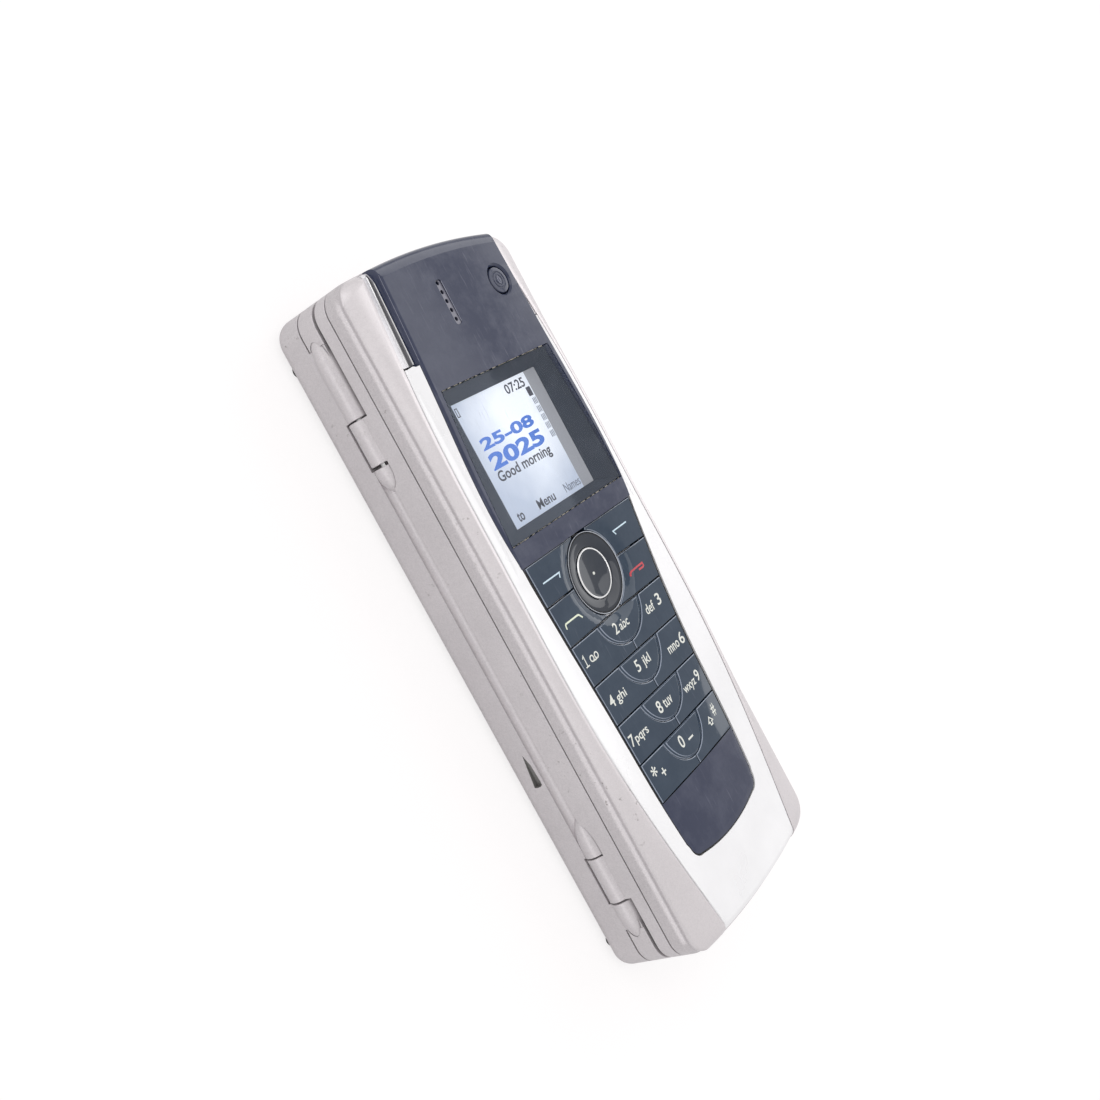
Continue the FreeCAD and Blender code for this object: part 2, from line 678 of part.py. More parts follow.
def lid_shell_core():
    """Outside of the lid: upright wall, hollow band, shoulder running up to the opening."""
    levels = ((0.0, SHELL_LEVEL), (0.0, 19.2), (0.4, HOLLOW_LEVEL), (0.25, SHOULDER_LEVEL))
    lower = stacked([body_ring(inset, z) for inset, z in levels])
    foot = body_ring(levels[-1][0], levels[-1][1], SIDE_STEPS)
    return fuse([lower, stacked([foot, opening_ring(0.6, OPENING_LEVEL)])])


def opening_quarter(side_end, sign):
    """Points of the shoulder's upper edge from the end of a side curve round to the middle of the end."""
    end_inset = 1.7
    half = side_end[0] - 1.2
    bow = END_BOW * (half / HALF_WIDTH) ** 2
    edge_y = sign * (HALF_LENGTH - end_inset - bow)
    points = []
    for step in range(CORNER_STEPS + 1):
        share = step / CORNER_STEPS
        x = side_end[0] + share * (half - side_end[0])
        points.append((x, side_end[1] + share * (edge_y - side_end[1])))
    for x, y in bow_points(half, edge_y, sign * bow)[:END_STEPS // 2]:
        points.append((x, y))
    return points


def opening_ring(grow, z):
    """Upper edge of the shoulder, point for point matched to the plan outline."""
    side = side_points(OPENING_STATIONS, grow)
    top = opening_quarter(side[-1], 1)
    bottom = opening_quarter(side[0], -1)
    between = side[1:-1]
    left = [(-x, y) for x, y in reversed(between)]
    return four_fold(top, bottom, between, left, z)


def insert_room(z0, z1):
    """Room for the front insert, open through both ends of the shell."""
    room = barrel_slab(OPENING_STATIONS, 0.0, (4.0, 4.0), z0, z1)
    high, low = OPENING_STATIONS[-1], OPENING_STATIONS[0]
    ends = [box(-high[1], high[1], high[0] - 0.5, 80.0, z0, z1)]
    ends.append(box(-low[1], low[1], -80.0, low[0] + 0.5, z0, z1))
    return fuse([room] + ends)


def lid_outer_shell():
    hollow = body_slab(WALL, 15.0, 19.6)
    inner_top = stacked([body_ring(2.2, 19.55), body_ring(4.2, 20.7)])
    shell = lid_shell_core().cut(fuse([hollow, inner_top]))
    return shell.cut(insert_room(20.65, 30.0))


def insert_envelope(z0, z1):
    """Space inside the shell opening, ends trimmed to the body outline."""
    room = barrel_slab(OPENING_STATIONS, -INSERT_GAP, (4.0, 4.0), z0, z1)
    high, low = OPENING_STATIONS[-1], OPENING_STATIONS[0]
    reach_top = high[1] - INSERT_GAP
    reach_low = low[1] - INSERT_GAP
    ends = [box(-reach_top, reach_top, high[0] - 1.0, 80.0, z0, z1)]
    ends.append(box(-reach_low, reach_low, -80.0, low[0] + 1.0, z0, z1))
    return fuse([room] + ends).common(body_slab(0.35, z0, z1))


def display_arch(sink):
    """Large drum lying across the body: everything below the arched top of the cover, or so far under it."""
    foot = V(-40.0, ARCH_MIDDLE_Y, ARCH_TOP - sink - ARCH_RADIUS)
    return Part.makeCylinder(ARCH_RADIUS, 80.0, foot, V(1, 0, 0))


def key_level(y):
    """Height of the key faces, which run straight along each row and rise towards the display."""
    along = max(0.0, (KEYPAD_TOP_Y - y) / ROW_PITCH)
    row = min(int(along), len(KEY_LEVELS) - 2)
    share = min(along - row, 1.0)
    return KEY_LEVELS[row] + share * (KEY_LEVELS[row + 1] - KEY_LEVELS[row])


def above_keys(sink):
    """Everything over the line of the key faces, or so far below it."""
    edges = [row_edge(row) for row in range(len(KEY_LEVELS))]
    side = [V(-40, 16.0, key_level(edges[0]) - sink)]
    side += [V(-40, y, key_level(y) - sink) for y in edges]
    side += [V(-40, -80.0, key_level(edges[-1]) - sink), V(-40, -80.0, 40), V(-40, 16.0, 40)]
    return panel(side).extrude(V(80, 0, 0))


def half_at(stations, y):
    """Half width of an outline at one place along its length."""
    spots = side_points(stations, 0.0)
    for (low_half, low_y), (high_half, high_y) in zip(spots, spots[1:]):
        if low_y <= y <= high_y:
            return low_half + (high_half - low_half) * (y - low_y) / (high_y - low_y)
    return spots[-1][0] if y > spots[-1][1] else spots[0][0]


def bezel_arm_point(y):
    """Outer and inner edge of the bezel beside the display or the keys."""
    inside = DISPLAY_SECTION if y > KEYPAD_TOP_Y else COVER_STATIONS
    return (half_at(OPENING_STATIONS, y) - INSERT_GAP, y), (half_at(inside, y) - 0.2, y)


def bezel_line():
    """Pairs of outer and inner edge points from the right arm round the bottom to the left arm."""
    right = [bezel_arm_point(y) for y in (BEZEL_START - INSERT_GAP,) + BEZEL_STATIONS]
    for outer_y, inner in BEZEL_CORNER:
        right.append(((half_at(OPENING_STATIONS, outer_y) - INSERT_GAP, outer_y), inner))
    foot = -HALF_LENGTH + 0.4
    right.append(((OPENING_STATIONS[0][1] / 3, foot), (4.0, COVER_STATIONS[0][0] - 1.0)))
    left = [((-ox, oy), (-ix, iy)) for (ox, oy), (ix, iy) in reversed(right)]
    return right + left


def bezel_height(y):
    """Height of the bezel along its inner edge: level with the keys, then close to the display's rim."""
    if y > KEYPAD_TOP_Y:
        return arch_height(y) - ARM_SINK
    return key_level(y) - PANEL_SINK


def front_bezel():
    """Band swept round the keypad, dished at the keys, its two arms rising towards the display."""
    sections = []
    for (outer_x, outer_y), (inner_x, inner_y) in bezel_line():
        outer = [V(outer_x, outer_y, BEZEL_FLOOR), V(outer_x, outer_y, BEZEL_RIM)]
        inner = [V(inner_x, inner_y, bezel_height(inner_y)), V(inner_x, inner_y, BEZEL_FLOOR)]
        sections.append(outer + inner)
    return stacked(sections).cut(panel_room()).common(end_fall(BEZEL_FALL))


def panel_room():
    """Room for the cover inside the bezel, a little larger than the cover all round."""
    upper = barrel_slab(DISPLAY_SECTION, 0.12, (0.0, 2.4), 15.0, 30.0)
    return fuse([keypad_panel(0.62, 15.0, 30.0), upper])


def end_fall(levels):
    """The rounded fall of the front towards both ends of the body, as (inset, height) levels."""
    return stacked([body_ring(inset, z) for inset, z in levels])


def front_channel():
    beside_cover = insert_envelope(20.9, 23.2).common(box(-40, 40, BEZEL_START + 0.12, 80, 10, 30))
    beside_cover = beside_cover.cut(barrel_slab(DISPLAY_SECTION, 0.12, (0.0, 2.4), 15.0, 30.0))
    ledge = beside_cover.common(box(-40, 40, 0, 80, 20.0, 22.3))
    lip = beside_cover.common(barrel_slab(DISPLAY_SECTION, 0.8, (0.0, -4.0), 15.0, 30.0))
    return fuse([ledge, lip]).common(end_fall(COVER_FALL))


def keypad_room(grow, z0, z1):
    """Keypad field between the two thin rails of the cover."""
    field = barrel_slab(COVER_STATIONS, grow, (2.2, 0.0), z0, z1)
    return field.common(box(-40, 40, keypad_bottom_y(), KEYPAD_TOP_Y, 10, 30))


def keypad_bottom_y():
    return KEYPAD_TOP_Y - 6 * ROW_PITCH


def lens_slab(grow, z0, z1):
    middle_y = (LENS_Y[0] + LENS_Y[1]) / 2
    places = (LENS_Y[0] - grow, middle_y, LENS_Y[1] + grow)
    stations = list(zip(places, LENS_HALVES))
    return barrel_slab(stations, grow, (0.0, 0.0), z0, z1)


def panel_ring(grow, z):
    """Plan of the cover's lower part: bowed bottom end with two round corners."""
    ring = barrel_ring(COVER_STATIONS, grow, (1.6 + grow, 0.0), z)
    end_y, end_half = COVER_STATIONS[0]
    radius = PANEL_CORNER + grow - 0.5
    turns = [math.pi / 2 * step / PANEL_CORNER_STEPS for step in range(PANEL_CORNER_STEPS + 1)]
    bend = [(end_half + grow - radius * (1 - math.cos(t)), end_y + radius * (1 - math.sin(t))) for t in turns]
    sides = [point for point in ring if point.y > end_y + radius + 0.2]
    bottom = [point for point in ring if point.y < end_y and abs(point.x) < end_half + grow - radius]
    ring = [V(x, y, z) for x, y in reversed(bend)] + sides
    return ring + [V(-x, y, z) for x, y in bend] + bottom


def keypad_panel(grow, z0, z1):
    """Lower part of the cover as a plain slab."""
    return panel(panel_ring(grow, z0)).extrude(V(0, 0, z1 - z0))


def arch_height(y):
    return ARCH_TOP - (y - ARCH_MIDDLE_Y) ** 2 / (2 * ARCH_RADIUS)


def hood_ring(grow, sink):
    """Ring around the raised part, a little below its arched top."""
    low, high = DISPLAY_SECTION[0], DISPLAY_SECTION[-1]
    moved = [(low[0] - grow, low[1])] + list(DISPLAY_SECTION[1:-1]) + [(high[0] + grow, high[1])]
    flat = barrel_ring(moved, grow, (0.0, 0.7), 0.0)
    low_z, high_z = arch_height(low[0]), arch_height(high[0])
    slope = (high_z - low_z) / (high[0] - low[0])
    return [V(p.x, p.y, low_z + slope * (p.y - low[0]) - sink) for p in flat]


def display_hood():
    """Raised part of the cover around the display, sloping down to the keys."""
    foot = barrel_ring(DISPLAY_SECTION, 0.0, (0.0, 0.7), COVER_UNDERSIDE)
    rims = [hood_ring(grow, sink) for grow, sink in ((0.0, 1.3), (-0.2, 0.4), (-0.6, -0.15))]
    hood = stacked([foot] + rims).common(display_arch(0.0)).common(end_fall(COVER_FALL))
    foot_y, foot_z = HOOD_FOOT
    line = [(foot_y - 2.0, foot_z), (foot_y, foot_z), (HOOD_RIM_Y, arch_height(HOOD_RIM_Y))]
    slope = [V(-40, y, z) for y, z in line + [(HOOD_RIM_Y, 30), (foot_y - 2.0, 30)]]
    return hood.cut(panel(slope).extrude(V(80, 0, 0)))


def front_cover():
    lower = keypad_panel(0.5, COVER_UNDERSIDE, 24.0).common(box(-40, 40, -80, KEYPAD_TOP_Y + 1, 10, 30))
    cover = fuse([lower.cut(above_keys(PANEL_SINK)), display_hood()])
    cuts = [keypad_room(0.0, 15.0, 30.0)]
    cuts.append(lens_slab(0.12, 22.3, 30.0))
    cuts.append(box(-LCD_HALF[0] - 1.4, LCD_HALF[0] + 1.4, 15.9, 45.2, 15.0, 30.0))
    cuts.append(prism(BUTTON_SIDES, 3.15, POWER_KEY[0], POWER_KEY[1], 15.0, 30.0))
    cuts.append(cut_corner_box(EARPIECE_X - 0.65, EARPIECE_X + 0.65, 56.9, 66.2, 24.1, 30.0, 0.4))
    for step in range(5):
        cuts.append(prism(8, 0.45, EARPIECE_X, 57.9 + 1.8 * step, 15.0, 30.0))
    return cover.cut(Part.makeCompound(cuts))


def display_window():
    return lens_slab(0.0, 22.4, 26.0).common(display_arch(0.08))


def cover_display():
    module = box(-17.0, 17.0, 13.4, 46.4, 18.5, 20.7)
    glass = box(-LCD_HALF[0], LCD_HALF[0], LCD_CENTRE_Y - LCD_HALF[1], LCD_CENTRE_Y + LCD_HALF[1], 20.6, 21.0)
    return fuse([module, glass])


def row_edge(row):
    return KEYPAD_TOP_Y - row * ROW_PITCH


def key_zone(row, side):
    """Left or right half of one keypad row, trimmed to the tapering field."""
    high = row_edge(row) - KEY_GAP / 2
    low = row_edge(row + 1) + KEY_GAP / 2
    inner = KEY_GAP / 2
    half = box(inner, 30, low, high, KEY_BOTTOM, 24.0)
    if side < 0:
        half = box(-30, -inner, low, high, KEY_BOTTOM, 24.0)
    return half.common(keypad_room(-0.2, 15, 30)).cut(above_keys(0.0))


def digit_ring(row, grow, sink):
    """Half-round middle key: flat towards the earpiece, round below; sink is counted from its face."""
    top = row_edge(row) - KEY_GAP / 2 + (2.0 if grow > 0 else grow)
    radius = DIGIT_RADIUS + grow
    centre = row_edge(row) - 2.7
    outline = [(radius, top), (-radius, top)]
    for step in range(CUP_STEPS + 1):
        turn = math.pi * (1 + step / CUP_STEPS)
        outline.append((radius * math.cos(turn), centre + radius * math.sin(turn)))
    slope = (KEY_LEVELS[row] - KEY_LEVELS[row + 1]) / ROW_PITCH
    return [V(x, y, KEY_LEVELS[row] + slope * (y - row_edge(row)) - sink) for x, y in outline]


def side_key(row, side):
    cup = panel(digit_ring(row, 0.3, 3.0)).extrude(V(0, 0, 6))
    return key_zone(row, side).cut(cup)


def middle_key(row):
    rims = [digit_ring(row, grow, sink) for grow, sink in ((0.0, 0.25), (-0.25, 0.0))]
    foot = [V(p.x, p.y, KEY_BOTTOM) for p in rims[0]]
    return stacked([foot] + rims)


def upper_key(row, side):
    collar = prism(DIAL_SIDES, NAV_RADIUS + 0.3, 0, NAV_Y, 15, 30)
    return key_zone(row, side).cut(collar)


def power_key():
    x, y = POWER_KEY
    button = round_layers(x, y, BUTTON_SIDES, ((2.9, 21.0), (2.9, 24.35), (2.55, 24.6)))
    return fuse([prism(12, 3.6, x, y, 20.6, 21.1), button])


def nav_actuator():
    return prism(16, 4.4, 0, NAV_Y, 20.5, 20.9)


def dial_ring(radius, sink):
    """Circle of the dial, which leans like the keys around it; sink is counted from its rim."""
    flat = circle_ring(DIAL_SIDES, radius, 0, NAV_Y, NAV_LEVEL - sink)
    return [V(p.x, p.y, p.z + NAV_SLOPE * (p.y - NAV_Y)) for p in flat]


def nav_ring():
    foot = circle_ring(DIAL_SIDES, NAV_RADIUS, 0, NAV_Y, 21.1)
    ring = stacked([foot, dial_ring(NAV_RADIUS, 0.0), dial_ring(3.0, 0.85)])
    return ring.cut(prism(DIAL_SIDES, NAV_BUTTON_RADIUS + 0.2, 0, NAV_Y, 20, 26))


def nav_button():
    foot = circle_ring(DIAL_SIDES, NAV_BUTTON_RADIUS, 0, NAV_Y, 21.35)
    levels = ((NAV_BUTTON_RADIUS, 0.35), (NAV_BUTTON_RADIUS - 0.5, 0.35), (1.4, 0.85))
    return stacked([foot] + [dial_ring(radius, sink) for radius, sink in levels])


def keypad_dome_sheet():
    sheet = cut_corner_box(-17.0, 17.0, -46.0, 11.6, 18.5, 20.3, 1.0)
    domes = [prism(6, 2.0, 0, NAV_Y, 20.2, 20.4)]
    for row in range(6):
        middle_y = (row_edge(row) + row_edge(row + 1)) / 2
        places = (-10.5, 0, 10.5) if row > 1 else (-10.5, 10.5)
        domes += [prism(6, 2.0, x, middle_y, 20.2, 20.4) for x in places]
    return fuse([sheet] + domes)


def lid_board():
    board = cut_corner_box(-18.5, 18.5, -60.0, 70.0, 17.6, 18.4, 1.5)
    return fuse([board, prism(8, 2.2, POWER_KEY[0], POWER_KEY[1], 18.3, 20.3)])


def earpiece_speaker():
    body = cut_corner_box(-11.0, 1.0, 55.0, 68.5, 18.5, 21.0, 2.0)
    return body.cut(cut_corner_box(-8.5, -1.5, 57.0, 66.5, 20.6, 22.0, 1.2))


def export(name, shape):
    placed = shape.copy()
    placed.translate(V(BODY_SHIFT, 0, 0))
    placed.exportStep("parts/" + name + ".step")


def build_all():
    makers = {
        "base_shell": base_shell,
        "keyboard_frame": keyboard_frame,
        "rubber_feet": rubber_feet,
        "main_board": main_board,
        "shield_cans": shield_cans,
        "battery": battery,
        "battery_cover": battery_cover,
        "sim_card_holder": sim_card_holder,
        "camera_module": camera_module,
        "camera_window": camera_window,
        "loudspeaker": loudspeaker,
        "charger_jack": charger_jack,
        "system_connector": system_connector,
        "infrared_window": infrared_window,
        "keyboard_dome_sheet": keyboard_dome_sheet,
        "base_screws": base_screws,
        "hinge_pins": hinge_pins,
        "application_keys": application_keys,
        "joystick_actuator": joystick_actuator,
        "joystick_cap": joystick_cap,
        "lid_inner_frame": lid_inner_frame,
        "command_keys": command_keys,
        "lid_screws": lid_screws,
        "main_display_window": main_display_window,
        "main_display": main_display,
        "lid_outer_shell": lid_outer_shell,
        "lid_board": lid_board,
        "keypad_dome_sheet": keypad_dome_sheet,
        "earpiece_speaker": earpiece_speaker,
        "cover_display": cover_display,
        "front_bezel": front_bezel,
        "front_channel": front_channel,
        "front_cover": front_cover,
        "display_window": display_window,
        "power_key": power_key,
        "nav_actuator": nav_actuator,
        "nav_ring": nav_ring,
        "nav_button": nav_button,
    }
    for name, maker in makers.items():
        export(name, maker())
    for index in range(5):
        export("keyboard_row_%d" % (index + 1), keyboard_row(index))
    export("soft_key_left", upper_key(0, -1))
    export("soft_key_right", upper_key(0, 1))
    export("call_key", upper_key(1, -1))
    export("end_key", upper_key(1, 1))
    names = (("key_1", "key_2", "key_3"), ("key_4", "key_5", "key_6"),
             ("key_7", "key_8", "key_9"), ("key_star", "key_0", "key_hash"))
    for index, (left, middle, right) in enumerate(names):
        export(left, side_key(index + 2, -1))
        export(middle, middle_key(index + 2))
        export(right, side_key(index + 2, 1))


os.makedirs("parts", exist_ok=True)
build_all()
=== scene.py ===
import logging
import math
import random
from dataclasses import dataclass, field
from enum import Enum
from typing import Callable

import bmesh
import bpy
import numpy as np
from mathutils import Matrix, Vector


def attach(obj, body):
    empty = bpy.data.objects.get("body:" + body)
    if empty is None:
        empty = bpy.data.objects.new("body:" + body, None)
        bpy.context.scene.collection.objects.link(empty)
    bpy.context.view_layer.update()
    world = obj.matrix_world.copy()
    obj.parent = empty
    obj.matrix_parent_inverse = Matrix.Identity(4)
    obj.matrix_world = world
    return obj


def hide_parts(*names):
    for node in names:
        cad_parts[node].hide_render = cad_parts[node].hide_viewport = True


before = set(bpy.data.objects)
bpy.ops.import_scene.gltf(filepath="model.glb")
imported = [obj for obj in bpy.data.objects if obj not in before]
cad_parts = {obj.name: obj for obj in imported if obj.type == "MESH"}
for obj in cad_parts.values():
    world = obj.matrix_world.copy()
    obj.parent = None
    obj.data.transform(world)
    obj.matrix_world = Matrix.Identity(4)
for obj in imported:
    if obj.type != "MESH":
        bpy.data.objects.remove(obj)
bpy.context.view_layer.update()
LOG = logging.getLogger("phone")

MM = 0.001
# The middle of the body lies this far from the middle of the CAD frame, because the hinge stands out.
BODY_SHIFT = 0.5
POWER_KEY = (14.3, 62.2)
Ring = list[tuple[float, float, float]]
Plan = list[tuple[float, float]]


class Body(Enum):
    """The moving bodies that the larger pieces ride on."""

    BASE = "base"
    LID = "lid"
    NAV_ROCKER = "nav_rocker"
    NAV_RIM = "nav_rim"
    NAV_CENTRE = "nav_centre"
    POWER_KEY = "power_key_cap"


class Slot(Enum):
    """The record's material slots."""

    SILVER_PAINT = "silver_paint"
    SILVER_FRAME = "silver_frame"
    RUBBER = "black_rubber"
    BEZEL = "pale_bezel"
    CHANNEL = "channel_grey"
    NAVY = "navy_gloss"
    GLASS = "display_glass"
    METAL = "button_metal"
    MECHANISM = "mechanism_white"


# ---------------------------------------------------------------- plan curves


@dataclass(frozen=True)
class BodyPlan:
    """Plan outline of the whole body: straight long sides, bowed ends, round corners, in millimetres."""

    half_width: float = 28.0
    half_length: float = 74.0
    end_bow: float = 2.3
    corner: float = 5.0
    corner_steps: int = 10
    end_steps: int = 12

    def quarter(self, inset: float) -> Plan:
        """Points from the end of the straight side to the middle of the bowed end.

        Args:
            inset: distance inside the outermost outline.

        Returns:
            Points with positive x and y.
        """
        bow_radius = (self.half_width ** 2 + self.end_bow ** 2) / (2 * self.end_bow) - inset
        centre = self.half_length - inset - bow_radius
        corner = max(self.corner - inset, 0.8)
        corner_x = self.half_width - inset - corner
        rise = math.sqrt((bow_radius - corner) ** 2 - corner_x ** 2)
        last = math.atan2(rise, corner_x)
        points = []
        for step in range(self.corner_steps + 1):
            turn = last * step / self.corner_steps
            points.append((corner_x + corner * math.cos(turn), centre + rise + corner * math.sin(turn)))
        for step in range(1, self.end_steps + 1):
            turn = last + (math.pi / 2 - last) * step / self.end_steps
            points.append((bow_radius * math.cos(turn), centre + bow_radius * math.sin(turn)))
        return points

    def ring(self, inset: float, z: float, side_steps: int = 1) -> Ring:
        """Closed ring of the outline at one height.

        Args:
            inset: distance inside the outermost outline.
            z: height of the ring.
            side_steps: number of steps along each straight side.

        Returns:
            Points in counter-clockwise order.
        """
        quarter = self.quarter(inset)
        side_x, side_y = quarter[0]
        between = [(side_x, side_y * (2 * s / side_steps - 1)) for s in range(1, side_steps)]
        left = [(-x, y) for x, y in reversed(between)]
        return four_fold(quarter, [(x, -y) for x, y in quarter], between, left, z)


def four_fold(top: Plan, bottom: Plan, right_side: Plan, left_side: Plan, z: float) -> Ring:
    """Ring from its top and bottom quarters and the points between them on the long sides.

    Args:
        top: quarter from the right side to the middle of the top end.
        bottom: the same for the bottom end.
        right_side: points of the right side, from bottom to top.
        left_side: points of the left side, from top to bottom.
        z: height of the ring.

    Returns:
        The closed ring.
    """
    plan = list(top) + [(-x, y) for x, y in reversed(top[:-1])] + list(left_side)
    plan += [(-x, y) for x, y in bottom] + [(x, y) for x, y in reversed(bottom[:-1])] + list(right_side)
    return [(x, y, z) for x, y in plan]


@dataclass(frozen=True)
class SideCurve:
    """Smooth half width along the length, through stations of (y, half width)."""

    stations: tuple[tuple[float, float], ...]

    def half(self, y: float | np.ndarray) -> np.ndarray:
        """Half width at y, on the natural cubic spline through the stations.

        Args:
            y: place along the length.

        Returns:
            The half width there.
        """
        ys = np.array([s[0] for s in self.stations])
        ws = np.array([s[1] for s in self.stations])
        gaps = np.diff(ys)
        count = len(ys)
        system = np.eye(count)
        right = np.zeros(count)
        for i in range(1, count - 1):
            system[i, i - 1:i + 2] = (gaps[i - 1], 2 * (gaps[i - 1] + gaps[i]), gaps[i])
            right[i] = 6 * ((ws[i + 1] - ws[i]) / gaps[i] - (ws[i] - ws[i - 1]) / gaps[i - 1])
        bend = np.linalg.solve(system, right)
        y = np.asarray(y, float)
        k = np.clip(np.searchsorted(ys, y) - 1, 0, count - 2)
        a, b, h = ys[k + 1] - y, y - ys[k], gaps[k]
        cubic = (bend[k] * a ** 3 + bend[k + 1] * b ** 3) / (6 * h)
        return cubic + (ws[k] / h - bend[k] * h / 6) * a + (ws[k + 1] / h - bend[k + 1] * h / 6) * b

    def points(self, grow: float, steps: int = 40) -> Plan:
        """Points (half width, y) from the low end to the high end.

        Args:
            grow: distance added to the half width.
            steps: number of steps.

        Returns:
            The points.
        """
        ys = np.linspace(self.stations[0][0], self.stations[-1][0], steps + 1)
        return [(float(w) + grow, float(y)) for w, y in zip(self.half(ys), ys)]

    def ring(self, grow: float, bows: tuple[float, float], z: float, steps: int = 40) -> Ring:
        """Ring with these curved sides and bowed ends.

        Args:
            grow: distance added to the half width.
            bows: how far the low and the high end stand out.
            z: height of the ring.
            steps: number of steps on each side.

        Returns:
            The closed ring.
        """
        side = self.points(grow, steps)
        top = bow_points(side[-1], bows[1])
        bottom = bow_points(side[0], -bows[0])
        plan = side + top + [(-x, y) for x, y in reversed(side)] + [(-x, y) for x, y in bottom]
        return [(x, y, z) for x, y in plan]


def bow_points(corner: tuple[float, float], sag: float, steps: int = 16) -> Plan:
    """Inner points of a bowed end from right to left.

    Args:
        corner: right-hand corner of the end.
        sag: how far the middle stands out.
        steps: number of steps.

    Returns:
        The points, none where the end is straight.
    """
    if abs(sag) < 1e-6:
        return []
    shares = [1 - 2 * s / steps for s in range(1, steps)]
    return [(corner[0] * a, corner[1] + sag * (1 - a ** 2)) for a in shares]


def circle(sides: int, radius: float, x: float, y: float, z: float) -> Ring:
    """Level ring of points round a centre.

    Args:
        sides: number of points.
        radius: radius of the ring.
        x: centre across the width.
        y: centre along the length.
        z: height.

    Returns:
        The ring.
    """
    turns = [2 * math.pi * (s + 0.5) / sides for s in range(sides)]
    return [(x + radius * math.cos(t), y + radius * math.sin(t), z) for t in turns]


def level(plan: Plan, z: float) -> Ring:
    """A plan put at one height."""
    return [(x, y, z) for x, y in plan]


def offset(plan: Plan, distance: float) -> Plan:
    """A closed counter-clockwise plan drawn in by a distance.

    Args:
        plan: corner points.
        distance: how far each edge moves inwards.

    Returns:
        As many points, mitred at the corners.
    """
    pts = np.array(plan)
    ahead = np.roll(pts, -1, axis=0) - pts
    ahead /= np.linalg.norm(ahead, axis=1)[:, None]
    behind = np.roll(ahead, 1, axis=0)
    normal = lambda d: np.stack([-d[:, 1], d[:, 0]], axis=1)
    both = normal(ahead) + normal(behind)
    scale = 2.0 / np.maximum((both ** 2).sum(axis=1), 0.6)
    return [tuple(p) for p in pts + both * scale[:, None] * distance]


def rounded_plan(plan: Plan, radii: list[float], steps: int = 5) -> Plan:
    """Round the corners of a closed plan.

    Args:
        plan: corner points.
        radii: radius of each corner, nought for a sharp one.
        steps: number of steps round a corner.

    Returns:
        The rounded plan.
    """
    result = []
    for i, (point, radius) in enumerate(zip(plan, radii)):
        here = Vector(point)
        back = Vector(plan[i - 1]) - here
        ahead = Vector(plan[(i + 1) % len(plan)]) - here
        if radius <= 0:
            result.append(tuple(here))
            continue
        angle = back.angle(ahead)
        reach = min(radius / math.tan(angle / 2), 0.45 * min(back.length, ahead.length))
        start = here + back.normalized() * reach
        end = here + ahead.normalized() * reach
        for step in range(steps + 1):
            t = step / steps
            spot = start * (1 - t) ** 2 + here * 2 * t * (1 - t) + end * t ** 2
            result.append(tuple(spot))
    return result


# ---------------------------------------------------------------- mesh forming


